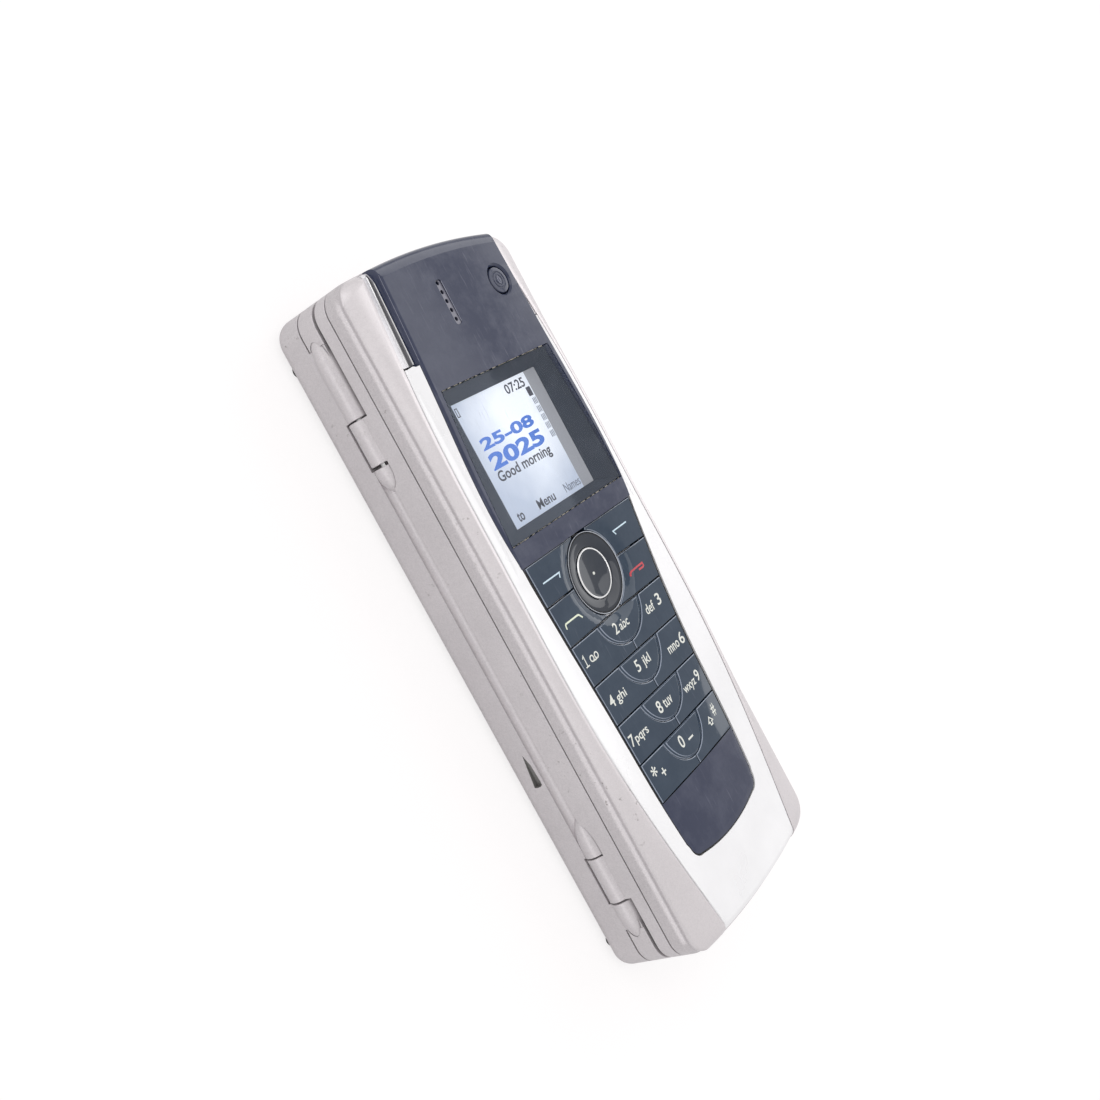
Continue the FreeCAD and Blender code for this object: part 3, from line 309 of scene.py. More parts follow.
class Former:
    """Makes closed meshes from rings and works them with cuts, joins and smoothing."""

    @staticmethod
    def solid(name: str, rings: list[Ring], capped: bool = True,
              smooth: float = 32.0) -> bpy.types.Object:
        """Solid through rings with equal point counts.

        Args:
            name: name of the object.
            rings: rings of points in millimetres.
            capped: close the first and last ring, or else join the last ring to the first.
            smooth: edges sharper than this angle stay sharp.

        Returns:
            The new object, in metres, moved to where the CAD solids lie.
        """
        count = len(rings[0])
        verts = [(MM * (x + BODY_SHIFT), MM * y, MM * z) for ring in rings for x, y, z in ring]
        pairs = list(zip(range(len(rings) - 1), range(1, len(rings))))
        if not capped:
            pairs.append((len(rings) - 1, 0))
        faces = []
        for low, high in pairs:
            for i in range(count):
                j = (i + 1) % count
                faces.append((low * count + i, low * count + j, high * count + j, high * count + i))
        if capped:
            faces.append(tuple(reversed(range(count))))
            faces.append(tuple(range((len(rings) - 1) * count, len(rings) * count)))
        return Former.mesh(name, verts, faces, smooth)

    @staticmethod
    def mesh(name: str, verts: list, faces: list, smooth: float = 32.0) -> bpy.types.Object:
        """Object from vertices in metres and faces, with outward normals.

        Args:
            name: name of the object.
            verts: vertex positions.
            faces: vertex indices of each face.
            smooth: edges sharper than this angle stay sharp.

        Returns:
            The new object.
        """
        data = bpy.data.meshes.new(name)
        data.from_pydata(verts, [], faces)
        work = bmesh.new()
        work.from_mesh(data)
        bmesh.ops.remove_doubles(work, verts=work.verts, dist=1e-7)
        bmesh.ops.recalc_face_normals(work, faces=work.faces)
        work.to_mesh(data)
        work.free()
        obj = bpy.data.objects.new(name, data)
        bpy.context.scene.collection.objects.link(obj)
        Former.shade(obj, smooth)
        return obj

    @staticmethod
    def shade(obj: bpy.types.Object, smooth: float) -> None:
        """Shade smooth except across edges sharper than an angle in degrees."""
        obj.data.polygons.foreach_set("use_smooth", [True] * len(obj.data.polygons))
        obj.data.set_sharp_from_angle(angle=math.radians(smooth))

    @staticmethod
    def settle(obj: bpy.types.Object) -> None:
        """Apply every modifier of an object."""
        graph = bpy.context.evaluated_depsgraph_get()
        data = bpy.data.meshes.new_from_object(obj.evaluated_get(graph))
        obj.modifiers.clear()
        old = obj.data
        obj.data = data
        data.name = obj.name
        bpy.data.meshes.remove(old)

    @staticmethod
    def combine(obj: bpy.types.Object, tools: list, operation: str,
                smooth: float = 32.0) -> bpy.types.Object:
        """Cut, join or keep the common part of an object and some tool solids.

        Args:
            obj: the solid that is worked.
            tools: the tool solids, removed afterwards.
            operation: DIFFERENCE, UNION or INTERSECT.
            smooth: edges sharper than this angle stay sharp.

        Returns:
            The worked object.
        """
        for tool in tools:
            step = obj.modifiers.new("work", "BOOLEAN")
            step.operation = operation
            step.solver = "EXACT"
            step.object = tool
        Former.settle(obj)
        for tool in tools:
            data = tool.data
            bpy.data.objects.remove(tool)
            bpy.data.meshes.remove(data)
        Former.shade(obj, smooth)
        return obj

    @staticmethod
    def weigh(obj: bpy.types.Object) -> bpy.types.Object:
        """Let the large faces lead the shading."""
        step = obj.modifiers.new("weigh", "WEIGHTED_NORMAL")
        step.keep_sharp = True
        Former.settle(obj)
        return obj

    @staticmethod
    def box(x0: float, x1: float, y0: float, y1: float, z0: float, z1: float) -> bpy.types.Object:
        """Plain box used as a tool solid, from one corner (x0, y0, z0) to the other.

        Args:
            x0: lower end across the width.
            x1: upper end across the width.
            y0: lower end along the length.
            y1: upper end along the length.
            z0: bottom.
            z1: top.

        Returns:
            The box.
        """
        plan = [(x0, y0), (x1, y0), (x1, y1), (x0, y1)]
        return Former.solid("tool", [level(plan, z0), level(plan, z1)])

    @staticmethod
    def join(name: str, parts: list) -> bpy.types.Object:
        """One object from several, without merging their solids.

        Args:
            name: name of the result.
            parts: the objects, which are used up.

        Returns:
            The joined object.
        """
        work = bmesh.new()
        materials: list = []
        for part in parts:
            part.data.transform(part.matrix_world)
            shift = len(materials)
            for material in part.data.materials:
                materials.append(material)
            if shift:
                for poly in part.data.polygons:
                    poly.material_index += shift
            work.from_mesh(part.data)
        data = bpy.data.meshes.new(name)
        work.to_mesh(data)
        work.free()
        for material in materials:
            data.materials.append(material)
        for part in parts:
            old = part.data
            bpy.data.objects.remove(part)
            bpy.data.meshes.remove(old)
        obj = bpy.data.objects.new(name, data)
        bpy.context.scene.collection.objects.link(obj)
        return obj


# ---------------------------------------------------------------- finishes


class Nodes:
    """Short-hand for the shader nodes of one material."""

    def __init__(self, name: str) -> None:
        """Start an empty material with a Principled shader."""
        self.material = bpy.data.materials.new(name)
        self.material.use_nodes = True
        self.tree = self.material.node_tree
        self.shader = self.tree.nodes["Principled BSDF"]
        self.place = self.tree.nodes.new("ShaderNodeTexCoord").outputs["Object"]

    def node(self, kind: str, inputs: dict | None = None, **settings) -> bpy.types.Node:
        """Add a node.

        Args:
            kind: node type without the ShaderNode prefix.
            inputs: socket name or index to value or source socket.
            settings: attributes of the node.

        Returns:
            The node.
        """
        made = self.tree.nodes.new("ShaderNode" + kind)
        for key, value in settings.items():
            setattr(made, key, value)
        for key, value in (inputs or {}).items():
            self.feed(made.inputs[key], value)
        return made

    def feed(self, socket: bpy.types.NodeSocket, value: object) -> None:
        """Set a socket to a value or link it to a source socket."""
        if isinstance(value, bpy.types.NodeSocket):
            self.tree.links.new(value, socket)
        else:
            socket.default_value = value

    def noise(self, scale: float, detail: float = 2.0, rough: float = 0.5,
              place: object = None) -> object:
        """Noise value at a place.

        Args:
            scale: features per metre.
            detail: number of finer layers.
            rough: weight of the finer layers.
            place: where it is read, the object's own place when left out.

        Returns:
            The value's socket.
        """
        made = self.node("TexNoise", {"Vector": place or self.place, "Scale": scale, "Detail": detail,
                                      "Roughness": rough})
        return made.outputs["Fac"]

    def stretch(self, scale: tuple, turn: tuple = (0, 0, 0)) -> object:
        """Object coordinates turned and stretched."""
        return self.node("Mapping",
                         {"Vector": self.place, "Rotation": turn, "Scale": scale}).outputs["Vector"]

    def spread(self, value: object, low: float, high: float, to_low: float = 0.0,
               to_high: float = 1.0) -> object:
        """Map a value range to another, clamped.

        Args:
            value: socket or number.
            low: lower end of the range.
            high: upper end of the range.
            to_low: result at the lower end.
            to_high: result at the upper end.

        Returns:
            The result's socket.
        """
        made = self.node("MapRange", {"Value": value, "From Min": low, "From Max": high, "To Min": to_low,
                                      "To Max": to_high})
        return made.outputs["Result"]

    def math(self, operation: str, a: object, b: object = 0.0) -> object:
        """One arithmetic step.

        Args:
            operation: name of the step, such as MULTIPLY.
            a: first socket or number.
            b: second socket or number.

        Returns:
            The result's socket.
        """
        return self.node("Math", {0: a, 1: b}, operation=operation).outputs[0]

    def mix(self, share: object, a: object, b: object) -> object:
        """Mix two colours.

        Args:
            share: how much of the second colour.
            a: first colour.
            b: second colour.

        Returns:
            The mixed colour's socket.
        """
        made = self.node("Mix", {"Factor": share}, data_type="RGBA")
        self.feed(made.inputs[6], a)
        self.feed(made.inputs[7], b)
        return made.outputs[2]

    def bump(self, height: object, distance: float, strength: float = 1.0,
             under: object = None) -> object:
        """Bump from a height, with the distance in millimetres.

        Args:
            height: height value.
            distance: height of one unit in millimetres.
            strength: share of the bump.
            under: normal of a coarser bump below.

        Returns:
            The normal.
        """
        made = self.node("Bump", {"Height": height, "Distance": distance * MM, "Strength": strength})
        if under is not None:
            self.feed(made.inputs["Normal"], under)
        return made.outputs["Normal"]

    def scratches(self, amount: float, seed: float) -> object:
        """Thin hair scratches in several directions.

        Args:
            amount: how many show, from 0 to 1.
            seed: shifts the pattern.

        Returns:
            A value from 0 to 1, high on a scratch.
        """
        total = None
        for index, turn in enumerate((0.35, 1.25, 2.2, 2.75)):
            place = self.stretch((1.0, 0.12, 1.0), (0, 0, turn))
            moved = self.node("VectorMath", {0: place, 1: (seed + index, seed * 2.0, index * 0.7)},
                              operation="ADD")
            fine = self.noise(1500.0, 1.0, 0.4, moved.outputs[0])
            line = self.spread(fine, 0.71 - 0.05 * amount, 0.80, 0.0, 1.0)
            total = line if total is None else self.math("MAXIMUM", total, line)
        where = self.spread(self.noise(90.0, 3.0, 0.6), 0.42, 0.68)
        return self.math("MULTIPLY", total, where)

    def set(self, **sockets) -> "Nodes":
        """Feed sockets of the Principled shader, with underscores for spaces.

        Args:
            sockets: socket names and values.

        Returns:
            These nodes.
        """
        for key, value in sockets.items():
            self.feed(self.shader.inputs[key.replace("_", " ")], value)
        return self


Rgb = tuple[float, float, float]


def rgba(colour: Rgb) -> tuple[float, float, float, float]:
    """Colour with full alpha."""
    return (*colour, 1.0)


@dataclass(frozen=True)
class SatinSilver:
    """Warm silver lacquer with fine flake speckle and scuffs, and a painted highlight that lightens it
    above a set height.
    """

    name: str = "satin_silver"
    colour: Rgb = (0.64, 0.61, 0.622)
    shade: Rgb = (0.48, 0.455, 0.467)
    speckle: float = 0.9
    roughness: float = 0.40
    metallic: float = 0.45
    wear: float = 1.0
    # Height in millimetres above which a painted highlight lightens the colour; the default lies above
    # the whole phone.
    highlight_from: float = 90.0

    def build(self) -> bpy.types.Material:
        """Return the material."""
        n = Nodes(self.name)
        flakes = n.noise(5200.0, 2.0, 0.7)
        grains = n.noise(1900.0, 3.0, 0.65)
        broad = n.noise(60.0, 3.0, 0.6)
        marks = n.spread(n.noise(700.0, 4.0, 0.7), 0.635, 0.72)
        patches = n.spread(n.noise(55.0, 2.0, 0.5), 0.5, 0.72)
        marks = n.math("MULTIPLY", marks, n.math("MULTIPLY", patches, self.wear))
        tone = n.math("ADD",
                      n.math("MULTIPLY", n.spread(flakes, 0.35, 0.65, -1.0, 1.0), 0.20 * self.speckle),
                      n.math("MULTIPLY", n.spread(grains, 0.3, 0.7, -1.0, 1.0), 0.16 * self.speckle))
        tone = n.math("ADD", tone, n.spread(broad, 0.3, 0.7, 0.42, 0.62))
        colour = n.mix(tone, rgba(self.shade), rgba(tuple(min(1.0, c * 1.12) for c in self.colour)))
        height = n.node("SeparateXYZ", {0: n.place}).outputs[2]
        # Painted highlight: above that height the colour is mixed halfway towards a pale warm white,
        # standing in for light on the upper shoulder.
        painted_top_highlight = n.spread(height, self.highlight_from * MM, (self.highlight_from + 0.7) * MM)
        colour = n.mix(n.math("MULTIPLY", painted_top_highlight, 0.5), colour, (0.88, 0.84, 0.85, 1.0))
        colour = n.mix(marks, colour, (0.22, 0.20, 0.19, 1.0))
        rough = n.spread(n.math("ADD", n.math("MULTIPLY", grains, 0.5), n.math("MULTIPLY", broad, 0.5)),
                         0.3, 0.7,
                         self.roughness - 0.07, self.roughness + 0.10)
        normal = n.bump(grains, 0.012, 0.5)
        normal = n.bump(n.math("MULTIPLY", marks, -1.0), 0.04, 1.0, normal)
        return n.set(Base_Color=colour, Metallic=self.metallic, Roughness=rough, Normal=normal).material


@dataclass(frozen=True)
class PaleLacquer:
    """Near-white satin lacquer with a cool tint and faint pearly unevenness."""

    name: str = "pale_lacquer"
    colour: Rgb = (0.90, 0.90, 0.91)
    roughness: float = 0.3

    def build(self) -> bpy.types.Material:
        """Return the material."""
        n = Nodes(self.name)
        broad = n.noise(80.0, 3.0, 0.6)
        fine = n.noise(5000.0, 2.0, 0.6)
        hair = n.scratches(0.3, 4.0)
        colour = n.mix(n.spread(broad, 0.3, 0.7, 0.0, 1.0), rgba(self.colour),
                       rgba(tuple(min(1.0, c * 1.05) for c in self.colour)))
        colour = n.mix(n.math("MULTIPLY", hair, 0.12), colour, (0.55, 0.56, 0.6, 1.0))
        rough = n.spread(broad, 0.3, 0.7, self.roughness - 0.05, self.roughness + 0.08)
        return n.set(Base_Color=colour, Metallic=0.1, Roughness=rough,
                     Normal=n.bump(fine, 0.003, 0.5), Coat_Weight=0.25, Coat_Roughness=0.15).material


@dataclass(frozen=True)
class NavyPlastic:
    """Dark blue plastic, glossy below a haze of wiping marks and hair scratches."""

    name: str = "navy_plastic"
    colour: Rgb = (0.026, 0.034, 0.072)
    haze: Rgb = (0.11, 0.12, 0.17)
    haze_share: float = 0.35
    roughness: float = 0.10
    scratch: float = 0.5
    grain: float = 0.002

    def build(self) -> bpy.types.Material:
        """Return the material."""
        n = Nodes(self.name)
        cloud = n.spread(n.noise(140.0, 5.0, 0.7), 0.42, 0.75)
        dust = n.spread(n.noise(1900.0, 4.0, 0.75), 0.60, 0.78)
        hair = n.scratches(self.scratch, 11.0)
        share = n.math("MULTIPLY", cloud, self.haze_share)
        share = n.math("ADD", share, n.math("MULTIPLY", dust, 0.5 * self.haze_share))
        colour = n.mix(share, rgba(self.colour), rgba(self.haze))
        colour = n.mix(n.math("MULTIPLY", hair, 0.26 * self.scratch), colour, (0.42, 0.44, 0.55, 1.0))
        rough = n.math("ADD", n.spread(cloud, 0.0, 1.0, self.roughness, self.roughness * 1.8),
                       n.math("MULTIPLY", dust, 0.15))
        normal = n.bump(n.noise(160.0, 2.0, 0.5), self.grain, 0.5)
        normal = n.bump(hair, -0.006, 0.6, normal)
        return n.set(Base_Color=colour, Roughness=rough, Normal=normal).material


@dataclass(frozen=True)
class DarkPlastic:
    """Moulded plastic or rubber with a fine grain."""

    name: str
    colour: Rgb
    roughness: float = 0.5
    grain: float = 4000.0
    depth: float = 0.01
    metallic: float = 0.0

    def build(self) -> bpy.types.Material:
        """Return the material."""
        n = Nodes(self.name)
        fine = n.noise(self.grain, 3.0, 0.6)
        broad = n.noise(120.0, 2.0, 0.5)
        lift = tuple(min(1.0, c * 1.25 + 0.004) for c in self.colour)
        colour = n.mix(n.spread(n.math("ADD", n.math("MULTIPLY", fine, 0.5),
                                       n.math("MULTIPLY", broad, 0.5)),
                                0.35, 0.65), rgba(self.colour), rgba(lift))
        rough = n.spread(broad, 0.3, 0.7, self.roughness - 0.06, self.roughness + 0.06)
        return n.set(Base_Color=colour, Metallic=self.metallic, Roughness=rough,
                     Normal=n.bump(fine, self.depth, 0.6)).material


@dataclass(frozen=True)
class ClearWindow:
    """Clear hard window with a thin gloss, wiping marks and fine dust."""

    name: str = "clear_window"
    tint: Rgb = (0.95, 0.96, 0.97)
    haze: float = 0.03

    def build(self) -> bpy.types.Material:
        """Return the material."""
        n = Nodes(self.name)
        hair = n.scratches(0.4, 21.0)
        cloud = n.spread(n.noise(160.0, 4.0, 0.7), 0.45, 0.8)
        dust = n.spread(n.noise(2600.0, 3.0, 0.7), 0.68, 0.76)
        marks = n.math("ADD", n.math("MULTIPLY", hair, 0.14), n.math("MULTIPLY", dust, 0.06))
        marks = n.math("ADD", marks, n.math("MULTIPLY", cloud, self.haze))
        front = n.math("SUBTRACT", 1.0, n.node("NewGeometry").outputs["Backfacing"])
        gloss = n.math("MULTIPLY", n.node("Fresnel", {"IOR": 1.4}).outputs[0], front)
        rough = n.math("ADD", n.math("MULTIPLY", cloud, 0.06), 0.03)
        clear = n.node("BsdfTransparent", {"Color": rgba(self.tint)})
        shine = n.node("BsdfGlossy", {"Color": (0.8, 0.87, 1.0, 1.0), "Roughness": rough,
                                      "Normal": n.bump(n.noise(90.0, 2.0, 0.5), 0.004, 0.4)})
        veil = n.node("BsdfDiffuse", {"Color": (0.45, 0.46, 0.5, 1.0)})
        base = n.node("MixShader",
                      {0: n.math("MULTIPLY", marks, front), 1: clear.outputs[0], 2: veil.outputs[0]})
        whole = n.node("MixShader", {0: gloss, 1: base.outputs[0], 2: shine.outputs[0]})
        n.tree.nodes.remove(n.shader)
        n.tree.links.new(whole.outputs[0], n.tree.nodes["Material Output"].inputs["Surface"])
        return n.material


@dataclass(frozen=True)
class Glow:
    """Printed or lit colour that shows at an even level, such as a legend or a display field."""

    name: str
    colour: Rgb
    light: float = 0.0
    roughness: float = 0.45

    def build(self) -> bpy.types.Material:
        """Return the material."""
        n = Nodes(self.name)
        wear = n.spread(n.noise(2500.0, 3.0, 0.7), 0.55, 0.8, 0.0, 0.25)
        colour = n.mix(wear, rgba(self.colour), rgba(tuple(c * 0.6 for c in self.colour)))
        n.set(Base_Color=colour, Roughness=self.roughness)
        if self.light > 0:
            n.set(Emission_Color=colour, Emission_Strength=self.light)
        return n.material


@dataclass(frozen=True)
class ScreenField:
    """Lit display field: white glow in the middle, bluish grey towards one corner."""

    name: str = "screen_field"
    white: Rgb = (0.92, 0.94, 0.98)
    grey: Rgb = (0.47, 0.52, 0.62)
    middle: tuple[float, float] = (2.5, 36.0)

    def build(self) -> bpy.types.Material:
        """Return the material."""
        n = Nodes(self.name)
        spot = ((self.middle[0] + BODY_SHIFT) * MM, self.middle[1] * MM, 0.0213)
        away = n.node("VectorMath", {0: n.place, 1: spot}, operation="DISTANCE").outputs["Value"]
        uneven = n.math("ADD", away, n.spread(n.noise(60.0, 3.0, 0.6), 0.3, 0.7, -0.003, 0.003))
        colour = n.mix(n.spread(uneven, 0.006, 0.020), rgba(self.white), rgba(self.grey))
        colour = n.mix(n.spread(n.noise(4000.0, 2.0, 0.5), 0.4, 0.6, 0.0, 0.08), colour,
                       (0.5, 0.55, 0.65, 1.0))
        return n.set(Base_Color=colour, Roughness=0.5, Emission_Color=colour,
                     Emission_Strength=0.30).material


class Finishes:
    """All finishes of the phone, made once."""

    def __init__(self) -> None:
        """Make every material."""
        # Painted light: the plain silver of the back shell, keyboard frame and lid's inner frame is
        # lighter than the lid shell's silver, standing in for light from the floor on the lower walls.
        self.silver = SatinSilver().build()
        # The lid's silver has the painted highlight on its shoulder, above 20.4 mm.
        self.silver_lid = SatinSilver("satin_silver_lid", (0.60, 0.57, 0.582),
                                      shade=(0.445, 0.421, 0.432), speckle=1.2, roughness=0.34,
                                      metallic=0.55, wear=1.6, highlight_from=20.4).build()
        self.pale = PaleLacquer().build()
        # Painted light: the channel grey is lighter than the part's own grey, to make up for the shade in
        # the deep channel.
        self.channel = DarkPlastic("channel_grey", (0.78, 0.77, 0.79), roughness=0.35, grain=3000.0,
                                   depth=0.004, metallic=0.3).build()
        self.bright = DarkPlastic("bright_edge", (0.82, 0.82, 0.82), roughness=0.2, grain=3000.0,
                                  depth=0.002, metallic=0.6).build()
        self.navy = NavyPlastic(grain=0.001).build()
        self.key = NavyPlastic("key_plastic", (0.020, 0.040, 0.070), haze=(0.08, 0.11, 0.15),
                               haze_share=0.25, roughness=0.03, scratch=0.35, grain=0.0006).build()
        # Light navy for the painted highlight lines and for the power key's printed mark.
        self.rim = NavyPlastic("cover_rim", (0.20, 0.21, 0.28), haze=(0.3, 0.3, 0.34), haze_share=0.3,
                               roughness=0.25, scratch=0.2).build()
        self.ring = NavyPlastic("ring_gloss", (0.014, 0.020, 0.032), haze=(0.06, 0.07, 0.08),
                                haze_share=0.15, roughness=0.03, scratch=0.2, grain=0.001).build()
        self.thin_line = DarkPlastic("thin_light_line", (0.50, 0.53, 0.58), roughness=0.15, grain=3000.0,
                                     depth=0.001).build()
        # Painted highlight for key bevels that face the hinge side or the top, and for the rims of the
        # middle keys.
        self.edge = DarkPlastic("key_edge_painted_highlight", (0.26, 0.30, 0.37), roughness=0.15, grain=3000.0,
                                depth=0.001).build()
        # Painted shade: darker grey for the inside of the finger recess.
        self.recess = DarkPlastic("recess_painted_shade", (0.19, 0.185, 0.18), roughness=0.5, grain=2500.0,
                                  depth=0.006, metallic=0.2).build()
        self.slot = DarkPlastic("slot_field", (0.17, 0.17, 0.21), roughness=0.3).build()
        self.dish = NavyPlastic("dish_gloss", (0.016, 0.024, 0.038), haze=(0.08, 0.08, 0.09),
                                haze_share=0.2, roughness=0.03, scratch=0.2, grain=0.0004).build()
        self.surround = DarkPlastic("window_surround", (0.016, 0.023, 0.036), roughness=0.9, grain=300.0,
                                    depth=0.0001).build()
        self.dust = DarkPlastic("joint_dust", (0.27, 0.25, 0.21), roughness=0.8, grain=1500.0,
                                depth=0.03).build()
        # Painted shade for the channel's inner wall and groove floor.
        self.channel_painted_shade = DarkPlastic("channel_painted_shade", (0.16, 0.16, 0.17), roughness=0.22, grain=3000.0,
                                        depth=0.004).build()
        self.gap = DarkPlastic("gap_black", (0.008, 0.008, 0.009), roughness=0.7).build()
        self.rubber = DarkPlastic("foot_rubber", (0.05, 0.05, 0.05), roughness=0.75).build()
        self.window = ClearWindow().build()
        self.black_gloss = DarkPlastic("black_surround", (0.012, 0.012, 0.016), roughness=0.15,
                                       grain=2000.0, depth=0.001).build()
        self.legend = Glow("legend_white", (0.78, 0.80, 0.74)).build()
        self.legend_blue = Glow("legend_blue_white", (0.62, 0.78, 0.88)).build()
        self.legend_green = Glow("legend_green_white", (0.78, 0.84, 0.66)).build()
        self.legend_red = Glow("legend_red", (0.55, 0.05, 0.07)).build()
        self.cap = DarkPlastic("graphite_cap", (0.06, 0.063, 0.07), roughness=0.42, grain=5000.0,
                               depth=0.006).build()
        self.screen = ScreenField().build()
        self.band = Glow("screen_band", (0.34, 0.34, 0.36), light=0.05).build()
        self.screen_grey = Glow("screen_grey", (0.16, 0.18, 0.24)).build()
        self.screen_ink = Glow("screen_ink", (0.03, 0.03, 0.05)).build()
        self.screen_blue = Glow("screen_blue", (0.04, 0.18, 0.68), light=0.10).build()
        self.steel = DarkPlastic("stamped_steel", (0.55, 0.55, 0.55), roughness=0.3, grain=1800.0,
                                 depth=0.004, metallic=0.95).build()
        self.board = DarkPlastic("board_green", (0.02, 0.13, 0.06), roughness=0.35, grain=2500.0,
                                 depth=0.006).build()
        self.white = DarkPlastic("white_moulding", (0.6, 0.6, 0.58), roughness=0.5).build()
        self.battery = DarkPlastic("battery_wrap", (0.035, 0.04, 0.06), roughness=0.35, grain=2500.0,
                                   depth=0.003).build()
        self.foil = DarkPlastic("dome_foil", (0.5, 0.5, 0.52), roughness=0.25, grain=1500.0, depth=0.01,
                                metallic=0.8).build()


def dress(obj: bpy.types.Object, body: Body | str, material: bpy.types.Material,
          nodes: tuple[str, ...] = ()) -> None:
    """Give a piece its material and place it on a body.

    Args:
        obj: the piece.
        body: the body that carries it, by name for a single key.
        material: its finish, set unless the mesh has its own.
        nodes: CAD nodes that it stands for.
    """
    body_name = body.value if isinstance(body, Body) else body
    if not obj.data.materials:
        obj.data.materials.append(material)
    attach(obj, body_name)
    if nodes:
        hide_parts(*nodes)
    LOG.info("%s: %d faces on %s", obj.name, len(obj.data.polygons), body_name)


# ---------------------------------------------------------------- shared sizes


@dataclass(frozen=True)
class Levels:
    """Heights of the seams and tops, and the plan of the body, in millimetres."""

    plan: BodyPlan = BodyPlan()
    back: float = 1.1
    strip: float = 7.8
    base_top: float = 12.3
    lid_bottom: float = 13.0
    shell: float = 16.3
    opening: float = 22.6
    insert_floor: float = 20.65
    seam: float = 0.25
    wall: float = 1.3


LEVELS = Levels()
OPENING = SideCurve(((-70.4, 18.2), (-45.0, 22.8), (-18.0, 25.4), (8.0, 25.3), (42.0, 24.6),
                     (70.4, 21.3)))
PANEL = SideCurve(((-57.4, 14.8), (-44.0, 16.3), (-26.0, 17.3), (-8.0, 18.9), (4.0, 20.3), (14.0, 21.4)))
HOOD = SideCurve(((9.9, 21.6), (15.0, 22.2), (46.0, 21.0), (73.0, 19.2)))


@dataclass(frozen=True)
class FrontLine:
    """Side view of the front: arch over the display, slope to the keys, and the key faces."""

    arch_radius: float = 4530.0
    arch_top: float = 25.37
    arch_middle: float = 137.0
    hood_rim: float = 14.6
    foot: float = 23.35
    top: float = 9.8
    pitch: float = 9.02
    faces: tuple[float, ...] = (23.3, 22.7, 22.22, 21.95, 21.87, 21.87, 21.9)
    sink: float = 0.1
    nav_y: float = 0.65
    nav_level: float = 22.7
    nav_slope: float = 0.06
    hollow: tuple[float, float, float] = (8.6, 11.4, 0.85)
    crown: tuple[tuple[float, float], ...] = ((-58.0, 0.4), (-50.0, 0.55), (-39.5, 0.55), (-30.0, 0.32),
                                              (-21.0, -0.04), (-12.0, -0.12), (-5.0, 0.0))

    def arch(self, y: float) -> float:
        """Height of the cover beside and above the display."""
        return self.arch_top - (self.arch_middle - y) ** 2 / (2 * self.arch_radius)

    def edge(self, row: int) -> float:
        """Boundary above a key row."""
        return self.top - row * self.pitch

    def face(self, row: int, y: float) -> float:
        """Height of the plane that the keys of one row share.

        Args:
            row: key row, 0 next to the display.
            y: place along the length.

        Returns:
            The height at y.
        """
        high, low = self.faces[row], self.faces[row + 1]
        return high + (low - high) * (self.edge(row) - y) / self.pitch

    def keys(self, y: float) -> float:
        """Height of the key faces at any y, level beyond the last row."""
        row = min(max(int((self.top - y) / self.pitch), 0), len(self.faces) - 2)
        return self.face(row, min(max(y, self.edge(row + 1)), self.edge(row)))

    def surface(self, x: float, y: float) -> float:
        """Height of the key faces, hollowed round the ring and crowned near the bottom.

        Args:
            x: place across the width.
            y: place along the length.

        Returns:
            The height at the place.
        """
        rise = float(np.interp(y, *zip(*self.crown))) * (1 - (x / float(PANEL.half(y))) ** 2)
        near, far, depth = self.hollow
        share = min(max((far - math.hypot(x, y - self.nav_y)) / (far - near), 0.0), 1.0)
        return self.keys(y) + rise - depth * share * share * (3 - 2 * share)

    def below(self, across: tuple[float, float], along: tuple[float, float],
              sink: float) -> bpy.types.Object:
        """Tool solid of everything under the key faces.

        Args:
            across: range of x.
            along: range of y.
            sink: how far under the faces.

        Returns:
            The tool.
        """
        xs = np.linspace(*across, max(4, int(across[1] - across[0])))
        rings = []
        for y in np.linspace(*along, max(4, int((along[1] - along[0]) * 1.4))):
            top = [(float(x), float(y), self.surface(float(x), float(y)) - sink) for x in xs]
            rings.append([(across[1], float(y), 10.0), (across[0], float(y), 10.0)] + top)
        return Former.solid("tool", rings)

    def above(self, line: list[tuple[float, float]]) -> bpy.types.Object:
        """Tool solid of everything over a line of (y, height) points."""
        section = line + [(line[-1][0], 40.0), (line[0][0], 40.0)]
        return Former.solid("tool", [[(x, y, z) for y, z in section] for x in (-40.0, 40.0)])


FRONT = FrontLine()


def opening_block(grow: float, z0: float, z1: float) -> bpy.types.Object:
    """Solid that fills the opening of the lid shell and runs out over both ends.

    Args:
        grow: distance added all round.
        z0: lower level.
        z1: upper level.

    Returns:
        The solid.
    """
    room = Former.solid("tool", [OPENING.ring(grow, (4.0, 4.0), z, 60) for z in (z0, z1)])
    low, high = OPENING.stations[0], OPENING.stations[-1]
    ends = [Former.box(-high[1] - grow, high[1] + grow, high[0] - 1.0, 80.0, z0, z1)]
    ends.append(Former.box(-low[1] - grow, low[1] + grow, -80.0, low[0] + 1.0, z0, z1))
    return Former.combine(room, ends, "UNION")


def fall_block(levels: tuple[tuple[float, float], ...]) -> bpy.types.Object:
    """Solid whose rim falls with rounded levels of (inset, height)."""
    return Former.solid("tool", [LEVELS.plan.ring(inset, z) for inset, z in levels])


